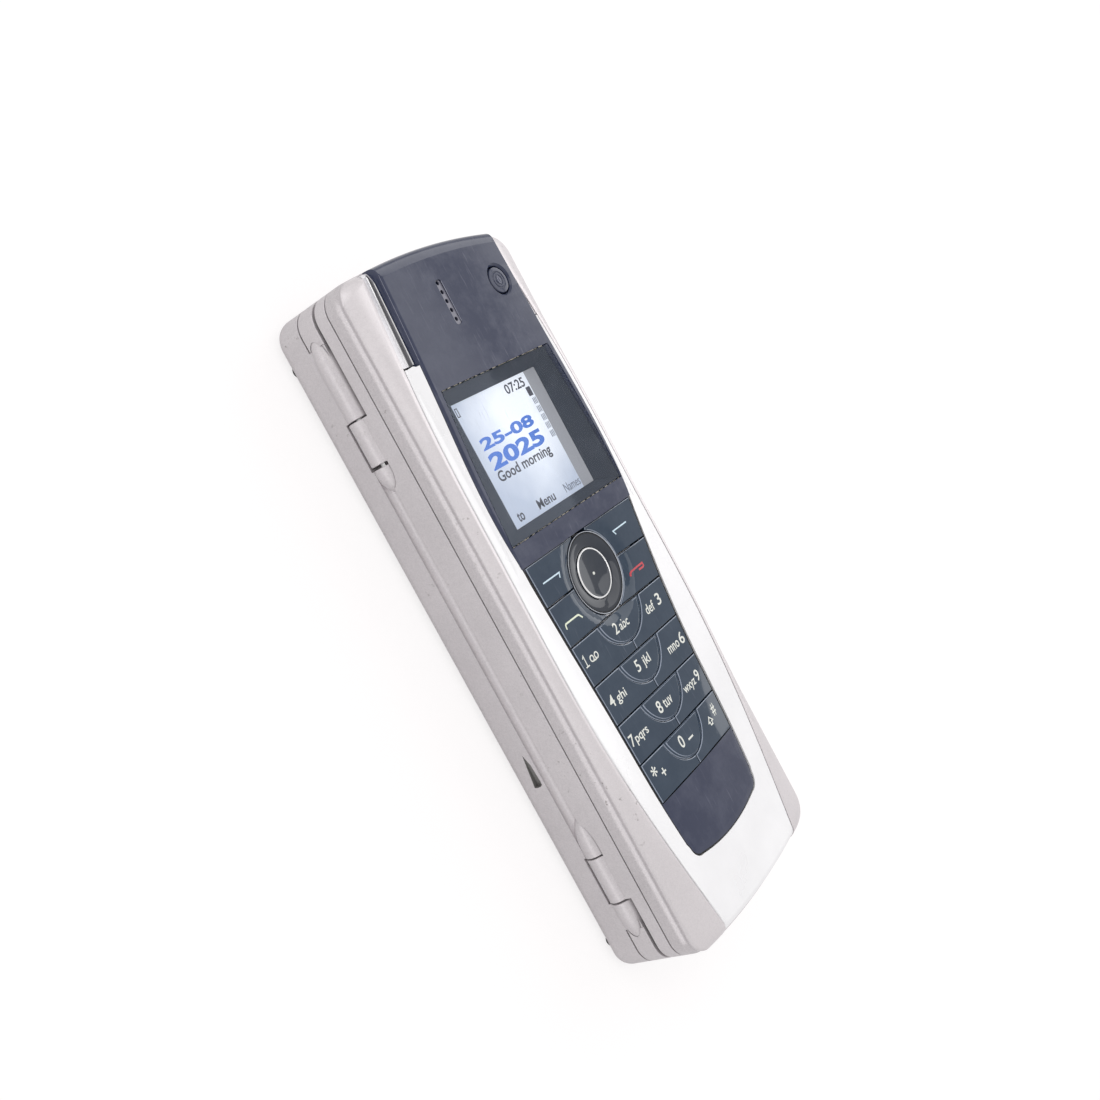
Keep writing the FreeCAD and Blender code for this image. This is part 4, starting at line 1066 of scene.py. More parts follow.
def soft_levels(points: tuple[tuple[float, float], ...],
                steps: int = 4) -> tuple[tuple[float, float], ...]:
    """Smooth a polyline of (inset, height) levels with a Catmull-Rom curve.

    Args:
        points: the coarse levels.
        steps: steps between two levels.

    Returns:
        The fine levels.
    """
    pts = [Vector(p) for p in points]
    pts = [pts[0] * 2 - pts[1]] + pts + [pts[-1] * 2 - pts[-2]]
    fine = []
    for i in range(1, len(pts) - 2):
        for step in range(steps):
            t = step / steps
            a, b, c, d = pts[i - 1:i + 3]
            spot = 0.5 * (2 * b + (c - a) * t + (2 * a - 5 * b + 4 * c - d) * t ** 2
                          + (3 * b - a - 3 * c + d) * t ** 3)
            fine.append(tuple(spot))
    fine.append(tuple(pts[-2]))
    return tuple(fine)


# ---------------------------------------------------------------- hinge side


@dataclass(frozen=True)
class HingeLine:
    """Barrels, bullets and humps that lie half sunk in the long wall."""

    x: float = -26.4
    z: float = 9.8
    radius: float = 2.57
    hump_top: tuple[float, float] = (49.3, 67.0)
    barrel_top: tuple[float, float] = (39.9, 48.95)
    bullet_top: tuple[float, float] = (33.8, 39.2)
    bullet_low: tuple[float, float] = (-46.4, -38.2)
    barrel_low: tuple[float, float] = (-56.5, -46.7)
    hump_low: tuple[float, float] = (-66.0, -56.9)
    web_half: float = 0.8
    web_bottom: float = 10.4
    cove_foot: float = 7.4
    band_depth: float = 1.35
    sides: int = 64

    def bar(self, radius: float, y0: float, y1: float, edge: float = 0.0) -> bpy.types.Object:
        """Round bar on the hinge line, with softened ends.

        Args:
            radius: radius of the bar.
            y0: lower end along the length.
            y1: upper end along the length.
            edge: softening of the ends.

        Returns:
            The bar.
        """
        levels = [(radius - edge, y0), (radius, y0 + edge), (radius, y1 - edge), (radius - edge, y1)]
        if edge <= 0:
            levels = [(radius, y0), (radius, y1)]
        return self.turned(levels)

    def turned(self, levels: list[tuple[float, float]]) -> bpy.types.Object:
        """Solid of revolution round the hinge line from (radius, y) levels."""
        rings = []
        for radius, y in levels:
            rings.append([(self.x + px, y, self.z + py)
                          for px, py, _ in circle(self.sides, radius, 0, 0, 0)])
        return Former.solid("tool", rings)

    def nose(self, y0: float, y1: float, pointed_high: bool, grow: float = 0.0) -> bpy.types.Object:
        """Bullet whose one end is drawn to a point.

        Args:
            y0: low end.
            y1: high end.
            pointed_high: the point is at the high end.
            grow: distance added all round.

        Returns:
            The solid.
        """
        length = y1 - y0
        straight = max(length - 2.6 * self.radius, 0.15 * length)
        levels = [(self.radius + grow - 0.12, 0.0), (self.radius + grow, 0.12)]
        steps = 14
        for step in range(steps + 1):
            turn = math.pi / 2 * step / steps
            reach = straight + (length - straight) * math.sin(turn)
            levels.append((max(self.radius * math.cos(turn), 0.03) + grow, reach))
        start, sign = (y0, 1) if pointed_high else (y1, -1)
        return self.turned([(radius, start + sign * reach) for radius, reach in levels])

    def noses(self, grow: float) -> list:
        """The four base parts: two humps and two bullets."""
        return [self.nose(*self.hump_top, True, grow), self.nose(*self.bullet_top, False, grow),
                self.nose(*self.bullet_low, True, grow), self.nose(*self.hump_low, False, grow)]

    def swing_room(self) -> list[bpy.types.Object]:
        """Room for the lid edge: deep where the barrels turn, shallow between the bullets."""
        outside = -LEVELS.plan.half_width - 0.02
        low = self.cove_foot - 0.2
        deep = (self.x + self.web_half + 0.5, low)
        soft = (outside + self.band_depth, low + 0.5)
        tools = []
        for (x_in, low), y0, y1 in ((deep, self.hump_low[1], self.bullet_low[0]),
                                    (soft, self.bullet_low[0] - 0.2, self.bullet_top[1] + 0.2),
                                    (deep, self.bullet_top[1], self.hump_top[0])):
            section = [(outside - 2.0, low), (outside, low)]
            for turn in np.radians(np.linspace(6, 88, 14)):
                section.append((outside + (x_in - outside) * math.sin(turn),
                                low + 1.8 * (1 - math.cos(turn))))
            section += [(x_in, low + 1.8), (x_in, LEVELS.base_top + 1),
                        (outside - 2.0, LEVELS.base_top + 1)]
            tools.append(Former.solid("tool", [[(x, y, z) for x, z in section] for y in (y0, y1)]))
        return tools


HINGE = HingeLine()


@dataclass
class BackShell:
    """Back half of the case: wall with hinge humps, rounded back edge, recess and feet."""

    finishes: Finishes
    feet_x: float = 25.2
    feet_y: tuple[float, float] = (63.2, -65.6)

    def block(self) -> bpy.types.Object:
        """Outer solid with its rounded back edge."""
        back = LEVELS.back
        levels = soft_levels(((1.8, back), (0.6, back + 0.35), (0.15, back + 1.1), (0.0, back + 1.9)), 4)
        rings = [LEVELS.plan.ring(inset, z) for inset, z in levels]
        top = LEVELS.base_top
        return Former.solid("base_shell_skin", rings + [LEVELS.plan.ring(0.0, top)])

    def wall_zone(self, margin: float) -> bpy.types.Object:
        """Where the shell's own wall rises to the lid seam; its ends are round."""
        x0, x1 = -32.0, -23.3 + margin
        y0, y1 = -62.9 - margin, 64.3 + margin
        z0, z1 = LEVELS.strip - 1.0, 14.0
        return Former.box(x0, x1, y0, y1, z0, z1)

    def recess(self) -> bpy.types.Object:
        """Finger recess in the long wall: deep at one end, rising to a point."""
        plan = [(-22.7, 6.0), (-25.0, 6.75), (-28.6, 7.0), (-29.5, 6.9), (-29.8, 6.3), (-29.85, 5.4),
                (-29.7, 4.8)]
        x = -LEVELS.plan.half_width
        outer = [(x - 1.0, y, z) for y, z in plan]
        inner = [(x + max(0.1, min(1.25, (-22.6 - y) * 0.28)), y, z) for y, z in plan]
        return Former.solid("tool", [outer, inner])

    def build(self) -> None:
        """Make the shell and its feet."""
        shell = self.block()
        inner = [LEVELS.plan.ring(LEVELS.wall, z) for z in (2.4, LEVELS.base_top + 1)]
        Former.combine(shell, [Former.solid("tool", inner)], "DIFFERENCE")
        rail = Former.box(-27.5, HINGE.x + HINGE.web_half + 1.9, -68.0, 68.0, 5.4, LEVELS.base_top)
        Former.combine(shell, [rail], "UNION")
        for tool in HINGE.swing_room():
            Former.combine(shell, [tool], "DIFFERENCE")
        ridge_x = HINGE.x + HINGE.web_half + 0.6
        ridge = Former.box(ridge_x, ridge_x + 1.1, -66.0, 66.0, LEVELS.base_top - 1,
                           LEVELS.lid_bottom - 0.12)
        Former.combine(shell, [ridge], "UNION")
        for tool in HINGE.noses(0.45):
            above = Former.box(-30.0, HINGE.x + 0.6, -80.0, 80.0, HINGE.z, LEVELS.base_top + 1)
            Former.combine(shell, [Former.combine(tool, [above], "INTERSECT")], "DIFFERENCE")
        Former.combine(shell, HINGE.noses(0.0), "UNION")
        gaps = [HINGE.bar(HINGE.radius + 0.25, a - 0.3, b + 0.3)
                for a, b in (HINGE.barrel_top, HINGE.barrel_low)]
        Former.combine(shell, gaps, "DIFFERENCE")
        top = LEVELS.base_top + 1
        strip = Former.solid("tool", [LEVELS.plan.ring(-4.0, z) for z in (LEVELS.strip, top)])
        Former.combine(strip, [self.wall_zone(0.0)] + HINGE.noses(0.0), "DIFFERENCE")
        Former.combine(shell, [strip, self.recess()], "DIFFERENCE")
        self.open_back(shell)
        Former.weigh(shell)
        shell.data.materials.append(self.finishes.silver)
        shell.data.materials.append(self.finishes.recess)
        # Painted shade: faces inside the finger recess get the darker recess finish.
        for poly in shell.data.polygons:
            x, y, z = (value / MM for value in poly.center)
            if -28.6 < x - BODY_SHIFT < -24.0 and -30.0 < y < -22.5 and 4.0 < z < 7.3:
                poly.material_index = 1
        dress(shell, Body.BASE, self.finishes.silver, ("base_shell",))
        self.feet()

    def open_back(self, shell: bpy.types.Object) -> None:
        """Cut the openings of the back and of the ends."""
        tools = [Former.box(-21.15, 21.15, -80.0, 8.15, 0.0, 2.45)]
        tools.append(Former.solid("tool", [circle(48, 3.6, 12.0, 52.0, z) for z in (0.0, 3.0)]))
        for step in range(-2, 3):
            x = -10.0 + 2.2 * step
            tools.append(Former.box(x - 0.5, x + 0.5, 47.5, 56.5, 0.0, 3.0))
        for sign in (-1, 1):
            for y in self.feet_y:
                tools.append(Former.solid("tool", [circle(24, 1.47, sign * self.feet_x, y, z)
                                                   for z in (0.0, 1.5)]))
        for x, y in ((-17.0, 67.0), (17.0, 67.0), (-24.0, 14.0), (24.0, 14.0)):
            tools.append(Former.solid("tool", [circle(24, 1.65, x, y, z) for z in (0.0, 2.35)]))
        jack = [[(12.0 + px, y, 4.7 + py) for px, py, _ in circle(40, 2.34, 0, 0, 0)]
                for y in (-80.0, -70.0)]
        tools.append(Former.solid("tool", jack))
        tools.append(Former.box(-10.6, 2.6, -80.0, -70.0, 3.0, 6.9))
        tools.append(Former.box(20.0, 30.0, 43.9, 52.1, 3.4, 6.6))
        Former.combine(shell, tools, "DIFFERENCE")

    def feet(self) -> None:
        """Make the four rubber feet."""
        parts = []
        for sign in (-1, 1):
            for y in self.feet_y:
                levels = ((0.9, 0.0), (1.2, 0.08), (1.38, 0.3), (1.4, 0.6), (1.4, 1.5))
                parts.append(Former.solid("foot",
                                          [circle(32, r, sign * self.feet_x, y, z) for r, z in levels]))
        feet = Former.join("rubber_feet_soft", parts)
        Former.shade(feet, 50)
        dress(feet, Body.BASE, self.finishes.rubber, ("rubber_feet",))


@dataclass
class KeyboardFrame:
    """Frame of the inner keyboard: rim strip between the lower seams and the deck with its key holes."""

    finishes: Finishes
    shell: BackShell
    pitch: float = 9.5
    row_step: float = 7.6
    first_row: float = -11.0

    def rows(self) -> list[tuple[float, list[tuple[float, float]]]]:
        """Row position and (middle, width) of each key, from the hinge side to the user's side."""
        patterns = ([1.0] * 13, [1.3] + [1.0] * 10 + [1.7], [1.6] + [1.0] * 9 + [2.4],
                    [2.1] + [1.0] * 9 + [1.9], [1.3, 1.3, 1.2, 5.2, 1.2, 1.2])
        rows = []
        for index, pattern in enumerate(patterns):
            y = -6.5 * self.pitch
            keys = []
            for units in pattern:
                keys.append((y + units * self.pitch / 2, units * self.pitch - 0.5))
                y += units * self.pitch
            rows.append((self.first_row + index * self.row_step, keys))
        return rows

    def build(self) -> None:
        """Make the rim and the deck."""
        z0, z1 = LEVELS.strip + LEVELS.seam, LEVELS.base_top
        levels = ((0.10, z0), (0.0, z0 + 0.1), (0.0, z1 - 0.12), (0.12, z1))
        rim = Former.solid("keyboard_frame_skin", [LEVELS.plan.ring(i, z) for i, z in levels])
        hollow = Former.solid("tool", [LEVELS.plan.ring(LEVELS.wall, z) for z in (5.0, 14.0)])
        Former.combine(rim, [hollow, self.shell.wall_zone(0.1)] + HINGE.noses(0.1), "DIFFERENCE")
        x_in = HINGE.x + HINGE.web_half + 2.1
        deck = Former.solid("deck", [LEVELS.plan.ring(LEVELS.wall - 0.1, z) for z in (10.5, 12.0)])
        tools = [Former.box(-30.0, x_in, -68.2, 68.2, 5.0, 14.0)]
        for x, keys in self.rows():
            for y, width in keys:
                tools.append(Former.box(x - 3.5, x + 3.5, y - width / 2 - 0.2, y + width / 2 + 0.2, 5.0,
                                        14.0))
        for step in range(8):
            y = -56.0 + 16.0 * step
            plan = rounded_plan([(-21.4, y - 5.7), (-16.6, y - 5.7), (-16.6, y + 5.7), (-21.4, y + 5.7)],
                                [1.6] * 4)
            tools.append(Former.solid("tool", [level(plan, z) for z in (5.0, 14.0)]))
        tools.append(Former.solid("tool", [circle(40, 3.8, 19.4, 54.0, z) for z in (5.0, 14.0)]))
        holes = Former.join("holes", tools)
        Former.combine(deck, [holes], "DIFFERENCE")
        Former.combine(rim, [deck], "UNION")
        dress(rim, Body.BASE, self.finishes.silver, ("keyboard_frame",))


@dataclass
class LidFrame:
    """Inner frame of the lid: the strip below the thin seam, its web and the two barrels."""

    finishes: Finishes

    def build(self) -> None:
        """Make the frame."""
        plan = LEVELS.plan
        z0, z1 = LEVELS.lid_bottom, LEVELS.shell - LEVELS.seam
        levels = ((0.3, z0), (0.08, z0 + 0.12), (0.0, z0 + 0.35), (0.0, z1 - 0.1), (0.1, z1))
        skin = Former.solid("lid_inner_frame_skin", [plan.ring(i, z) for i, z in levels])
        Former.combine(skin, [Former.solid("tool", [plan.ring(LEVELS.wall, z) for z in (12.0, 18.0)])],
                       "DIFFERENCE")
        x_in = HINGE.x + HINGE.web_half
        half = plan.half_width
        web = Former.box(-half, x_in, HINGE.barrel_low[0], HINGE.barrel_top[1], HINGE.web_bottom, 14.2)
        Former.combine(web, HINGE.noses(0.3), "DIFFERENCE")
        joined = [web]
        for a, b in (HINGE.barrel_top, HINGE.barrel_low):
            joined.append(HINGE.bar(HINGE.radius, a, b, 0.1))
            joined.append(Former.box(-half, x_in, a, b, HINGE.z, 14.2))
        for tool in joined:
            Former.combine(skin, [tool], "UNION")
        gaps = [HINGE.bar(HINGE.radius + 0.3, HINGE.bullet_top[1] - 0.01, HINGE.barrel_top[0])]
        gaps.append(HINGE.bar(HINGE.radius + 0.3, HINGE.barrel_low[1], HINGE.bullet_low[0] + 0.01))
        Former.combine(skin, gaps, "DIFFERENCE")
        inner = Former.solid("plate", [plan.ring(LEVELS.wall - 0.1, z) for z in (13.6, 14.7)])
        window = rounded_plan([(-14.2, -57.2), (20.2, -57.2), (20.2, 47.2), (-14.2, 47.2)], [1.0] * 4)
        tools = [Former.solid("tool", [level(window, z) for z in (12.0, 16.0)])]
        for step in range(4):
            x = -9.6 + 8.4 * step
            hole = rounded_plan([(x - 3.4, 51.1), (x + 3.4, 51.1), (x + 3.4, 56.9), (x - 3.4, 56.9)],
                                [1.2] * 4)
            tools.append(Former.solid("tool", [level(hole, z) for z in (12.0, 16.0)]))
        for x in (-22.5, 22.5):
            for y in (-66.5, 66.5):
                tools.append(Former.solid("tool", [circle(24, 1.55, x, y, z) for z in (12.0, 14.0)]))
        Former.combine(inner, tools, "DIFFERENCE")
        Former.combine(skin, [inner], "UNION")
        Former.weigh(skin)
        dress(skin, Body.LID, self.finishes.silver, ("lid_inner_frame",))


@dataclass
class LidShell:
    """Outer shell of the lid: wall, soft hollow band and speckled shoulder up to the insert."""

    finishes: Finishes
    side_steps: int = 60

    def opening_quarter(self, end: tuple[float, float], sign: int) -> Plan:
        """Upper edge of the shoulder from the end of a side curve to the middle of the end."""
        plan = LEVELS.plan
        half = end[0] - 1.2
        bow = plan.end_bow * (half / plan.half_width) ** 2
        edge = sign * (plan.half_length - 1.7 - bow)
        points = []
        for step in range(plan.corner_steps + 1):
            share = step / plan.corner_steps
            points.append((end[0] + share * (half - end[0]), end[1] + share * (edge - end[1])))
        return points + bow_points((half, edge), sign * bow, 2 * plan.end_steps)[:plan.end_steps]

    def shoulder_edge(self, z: float) -> Ring:
        """Ring of the shoulder's upper edge, matched to the plan outline."""
        side = OPENING.points(0.6, self.side_steps)
        between = side[1:-1]
        left = [(-x, y) for x, y in reversed(between)]
        return four_fold(self.opening_quarter(side[-1], 1), self.opening_quarter(side[0], -1), between,
                         left, z)

    def build(self) -> None:
        """Make the shell."""
        plan = LEVELS.plan
        z0 = LEVELS.shell
        levels = ((0.12, z0), (0.0, z0 + 0.12), (0.0, 18.6), (0.06, 19.0), (0.24, 19.4), (0.42, 19.75),
                  (0.46, 20.0), (0.36, 20.3), (0.22, 20.6), (0.22, 20.85))
        rings = [plan.ring(i, z, self.side_steps) for i, z in levels]
        foot = np.array(plan.ring(0.22, 20.85, self.side_steps))
        edge = np.array(self.shoulder_edge(LEVELS.opening))
        for share in np.linspace(0.08, 1.0, 12):
            lift = share + 0.16 * math.sin(math.pi * share)
            ring = foot + (edge - foot) * share
            ring[:, 2] = foot[:, 2] + (edge[:, 2] - foot[:, 2]) * min(lift, 1.0)
            rings.append([tuple(p) for p in ring])
        shell = Former.solid("lid_outer_shell_skin", rings)
        hollow = Former.solid("tool", [plan.ring(LEVELS.wall, z) for z in (15.0, 19.6)])
        inner = Former.solid("tool", [plan.ring(2.2, 19.55), plan.ring(4.2, 20.7)])
        Former.combine(hollow, [inner], "UNION")
        Former.combine(shell, [hollow], "DIFFERENCE")
        Former.combine(shell, [opening_block(0.0, LEVELS.insert_floor, 30.0)], "DIFFERENCE")
        Former.weigh(shell)
        dress(shell, Body.LID, self.finishes.silver_lid, ("lid_outer_shell",))


# ---------------------------------------------------------------- front insert


@dataclass
class FrontInsert:
    """Bezel, channels, navy cover with its window, on the front of the lid."""

    finishes: Finishes
    bezel_start: float = 53.0
    bezel_rim: float = 22.68
    bezel_floor: float = 20.9
    underside: float = 21.2
    earpiece_x: float = -4.6
    lens_y: tuple[float, float] = (14.45, 46.25)
    lens_halves: tuple[float, float, float] = (21.5, 20.6, 19.0)
    chance: random.Random = field(default_factory=lambda: random.Random(7))

    def panel_plan(self, grow: float) -> Plan:
        """Plan of the lower part of the cover, whose bottom corners are round."""
        side = [p for p in PANEL.points(grow, 60) if p[1] > -54.0]
        radius, low = 2.5 + grow, PANEL.stations[0][0] - grow
        half = PANEL.stations[0][1] + grow
        bend = []
        for turn in np.linspace(0, math.pi / 2, 9):
            bend.append((half - radius * (1 - math.cos(turn)), low + radius * (1 - math.sin(turn))))
        flat = half - radius
        bottom = [(flat * share, low - 1.4 * (1 - share * share))
                  for share in np.linspace(-1, 1, 15)[1:-1]]
        plan = [(x, y) for x, y in reversed(bend)] + side + [(-x, y) for x, y in reversed(side)]
        return plan + [(-x, y) for x, y in bend] + bottom

    def hood_block(self, grow: float) -> bpy.types.Object:
        """Prism of the display part of the cover."""
        return Former.solid("tool", [HOOD.ring(grow, (0.0, 2.4), z) for z in (15.0, 30.0)])

    def crown(self, sink: float) -> bpy.types.Object:
        """Everything below the arched top of the cover, or so far under it."""
        section = [(-80.0, 10.0), (80.0, 10.0)]
        section += [(y, FRONT.arch(y) - sink) for y in np.linspace(80, -80, 65)]
        return Former.solid("tool", [[(x, y, z) for y, z in section] for x in (-40.0, 40.0)])

    def bezel_pairs(self) -> list[tuple[tuple, tuple]]:
        """Outer and inner edge points of the bezel, from the right arm to the bottom middle."""
        pairs = []
        for y in np.linspace(self.bezel_start, -50.0, 70):
            inner = HOOD.half(y) if y > FRONT.top else PANEL.half(y)
            pairs.append(((float(OPENING.half(y)) - 0.22, float(y)), (float(inner) - 0.2, float(y))))
        low_y, low_half = OPENING.stations[0]
        outer = [(float(OPENING.half(y)) - 0.22, float(y)) for y in np.linspace(-50.0, low_y, 12)]
        outer += [(low_half - 0.22, -73.6), (low_half * 0.6, -73.75), (0.0, -73.8)]
        inner = [(15.4, -50.0), (14.9, -53.6), (14.3, -55.6), (13.0, -56.9), (10.8, -57.6), (0.0, -58.6)]
        for share in np.linspace(0.03, 1.0, 34):
            pairs.append((self.along(outer, share), self.along(inner, share)))
        return pairs

    @staticmethod
    def along(path: Plan, share: float) -> tuple[float, float]:
        """Point at a share of the length of a path."""
        steps = [math.dist(a, b) for a, b in zip(path, path[1:])]
        left = share * sum(steps)
        for (a, b), step in zip(zip(path, path[1:]), steps):
            if left <= step or b == path[-1]:
                t = min(left / step, 1.0)
                return a[0] + (b[0] - a[0]) * t, a[1] + (b[1] - a[1]) * t
            left -= step
        return path[-1]

    @staticmethod
    def inner_height(y: float) -> float:
        """Height of the bezel along the keys and along the display."""
        beside_display = FRONT.arch(y) - 0.35
        beside_keys = FRONT.keys(y) - FRONT.sink + 0.02
        share = min(max((y - FRONT.top + 1.5) / 3.0, 0.0), 1.0)
        return beside_keys + (beside_display - beside_keys) * share * share * (3 - 2 * share)

    def bezel(self) -> None:
        """Near-white frame that runs down beside the display and round the keypad."""
        right = self.bezel_pairs()
        line = right + [((-ox, oy), (-ix, iy)) for (ox, oy), (ix, iy) in reversed(right[:-1])]
        rings = []
        for outer, inner in line:
            top = self.inner_height(inner[1])
            hollow = 0.16 if inner[1] < 8.0 else 0.02
            spots = [(0.0, self.bezel_floor), (0.0, self.bezel_rim - 0.22),
                     (0.012, self.bezel_rim - 0.08),
                     (0.035, self.bezel_rim)]
            for share in np.linspace(0.12, 1.0, 8):
                rise = self.bezel_rim + (top - self.bezel_rim) * share
                spots.append((share, rise - hollow * 4 * share * (1 - share)))
            spots.append((1.0, self.bezel_floor))
            rings.append([(outer[0] + (inner[0] - outer[0]) * s, outer[1] + (inner[1] - outer[1]) * s, z)
                          for s, z in spots])
        body = Former.solid("front_bezel_skin", rings)
        fall = soft_levels(((0.45, 20.0), (0.6, 21.0), (0.95, 21.7), (1.6, 22.25), (3.0, 22.72),
                            (5.0, 23.05),
                            (5.6, 25.0)), 4)
        Former.combine(body, [fall_block(fall)], "INTERSECT")
        start = self.bezel_start
        end = [(40.0, start - 0.1), (24.2, start - 0.1), (22.9, start - 0.35), (21.8, start - 0.2),
               (21.3, start - 0.55), (0.0, start - 0.5)]
        plan = [(-40.0, -80.0), (40.0, -80.0)] + end + [(-x, y) for x, y in reversed(end[:-1])]
        Former.combine(body, [Former.solid("tool", [level(plan, z) for z in (10.0, 30.0)])], "INTERSECT")
        panel = Former.solid("tool", [level(self.panel_plan(0.64), z) for z in (15.0, 30.0)])
        Former.combine(body, [panel, self.hood_block(0.13)], "DIFFERENCE")
        Former.weigh(body)
        dress(body, Body.LID, self.finishes.pale, ("front_bezel",))

    def seam(self) -> None:
        """Black band at the bottom of the seam between the lid shell and the bezel: a dark joint, and
        painted shade for the shadow of the raised bezel.
        """
        rings = [OPENING.ring(grow, (2.3, 1.2), z)
                 for grow, z in ((-0.9, 20.95), (-0.9, 21.9), (0.05, 21.9), (0.05, 20.95))]
        band = Former.solid("front_seam", rings, capped=False)
        Former.combine(band, [Former.box(-40, 40, -80, 52.5, 10, 30)], "INTERSECT")
        dress(band, Body.LID, self.finishes.gap)

    def channel(self) -> None:
        """Grey channels beside the upper part of the cover, with bright ridges, painted shade on the
        inner wall and groove floor, and a grey painted lighter against the shade.
        """
        parts = []
        ys = np.linspace(self.bezel_start + 0.12, 73.4, 30)
        outer = OPENING.half(np.clip(ys, None, 70.4)) - 0.12
        inner = HOOD.half(ys) + 0.12
        spots = ((1.0, 20.9), (1.0, 22.34), (0.96, 22.42), (0.46, 22.46), (0.43, 22.58), (0.39, 22.58),
                 (0.36, 22.3), (0.17, 22.34), (0.14, 22.98), (0.05, 23.06), (0.0, 22.9), (0.0, 20.9))
        # Finish of each face band: 0 grey, 1 bright ridge, 2 painted shade.
        finishes = (0, 0, 0, 1, 1, 1, 2, 2, 1, 1, 2, 2)
        f = self.finishes
        for sign in (1, -1):
            rings = []
            for y, xo, xi in zip(ys, outer, inner):
                ring = [(sign * (xi + (xo - xi) * s), float(y), z) for s, z in spots]
                rings.append(ring)
            part = Former.solid("channel", rings)
            for material in (f.channel, f.bright, f.channel_painted_shade):
                part.data.materials.append(material)
            for poly in list(part.data.polygons)[:len(finishes) * (len(rings) - 1)]:
                poly.material_index = finishes[poly.index % len(finishes)]
            parts.append(part)
        piece = Former.join("front_channel_skin", parts)
        fall = soft_levels(((0.5, 20.0), (0.62, 21.3), (0.95, 22.2), (2.2, 22.75), (4.5, 23.4)), 4)
        Former.combine(piece, [fall_block(fall)], "INTERSECT", 25.0)
        dress(piece, Body.LID, f.channel, ("front_channel",))

    def hood(self) -> bpy.types.Object:
        """Raised part of the cover with its softened rim."""
        rims = ((0.0, 1.3), (0.0, 0.75), (-0.06, 0.45), (-0.18, 0.24), (-0.42, 0.08), (-0.75, -0.03),
                (-1.0, -0.2))
        rings = [HOOD.ring(0.0, (0.0, 0.7), self.underside)]
        for grow, sink in rims:
            rings.append([(x, y, FRONT.arch(y) - sink) for x, y, _ in HOOD.ring(grow, (0.0, 0.7), 0.0)])
        hood = Former.solid("front_cover_skin", rings)
        fall = soft_levels(((0.35, 20.0), (0.42, 22.2), (0.6, 23.3), (1.1, 24.1), (2.1, 24.62),
                            (3.8, 25.0)), 5)
        Former.combine(hood, [self.crown(0.0), fall_block(fall)], "INTERSECT")
        rim = FRONT.hood_rim
        line = [(FRONT.top - 3.0, FRONT.foot - 0.02), (FRONT.top, FRONT.foot),
                (rim - 0.5, FRONT.arch(rim - 0.5) - 0.06),
                (rim, FRONT.arch(rim) + 0.001)]
        return Former.combine(hood, [FRONT.above(line)], "DIFFERENCE")

    def lower(self) -> bpy.types.Object:
        """Lower part of the cover: rails beside the keys and the bottom panel with its soft margin."""
        rings = [level(self.panel_plan(0.5), self.underside)]
        for grow, sink in ((0.5, 0.4), (0.42, 0.2), (0.2, 0.1), (-0.9, -0.004)):
            rings.append([(x, y, FRONT.surface(x, y) - FRONT.sink - sink)
                          for x, y in self.panel_plan(grow)])
        rings.append(level(self.panel_plan(-0.9), 28.0))
        lower = Former.solid("lower", rings)
        face = FRONT.below((-24.0, 24.0), (-62.0, FRONT.top + 1.2), FRONT.sink)
        return Former.combine(lower, [face], "INTERSECT")

    def cover(self) -> None:
        """Navy cover: display hood, keypad rails and bottom panel."""
        cover = self.hood()
        Former.combine(cover, [self.lower()], "UNION")
        keypad = Former.solid("tool", [PANEL.ring(0.0, (2.2, 0.0), z) for z in (15.0, 30.0)])
        Former.combine(keypad, [Former.box(-40, 40, FRONT.edge(6), FRONT.edge(0), 10, 30)], "INTERSECT")
        tools = [keypad, self.lens(0.2, 15.0, 30.0)]
        x, y = POWER_KEY
        levels = ((3.08, 15.0), (3.08, 24.2), (3.2, 24.45), (3.6, 24.75), (3.75, 30.0))
        tools.append(Former.solid("tool", [circle(64, r, x, y, z) for r, z in levels]))
        left, right = self.earpiece_x - 0.85, self.earpiece_x + 1.05
        slot = rounded_plan([(left, 56.7), (right, 56.7), (right, 66.2), (left, 66.2)], [0.75] * 4)
        tools.append(Former.solid("tool", [level(slot, 24.45), level(slot, 30.0)]))
        for step in range(5):
            spot = 57.9 + 1.93 * step
            tools.append(Former.solid("tool",
                                      [circle(20, 0.5, self.earpiece_x, spot, z) for z in (15.0, 30.0)]))
        Former.combine(cover, tools, "DIFFERENCE")
        Former.weigh(cover)
        cover.data.materials.append(self.finishes.navy)
        cover.data.materials.append(self.finishes.gap)
        # Painted shade: the rails beside the keys and the steep faces below the last key row get the
        # black gap finish instead of navy.
        for poly in cover.data.polygons:
            x, y = poly.center.x / MM - BODY_SHIFT, poly.center.y / MM
            if FRONT.edge(6) + 0.1 < y < FRONT.edge(0) and abs(x) > float(PANEL.half(y)) - 0.1:
                poly.material_index = 1
            if y < FRONT.edge(6) and poly.normal.z < 0.93:
                poly.material_index = 1
        dress(cover, Body.LID, self.finishes.navy, ("front_cover",))
        self.trim()

    def trim(self) -> None:
        """Fine lines: a painted highlight on the cover's left bevel and on the earpiece slot's right
        edge, and the window's dusty joints.
        """
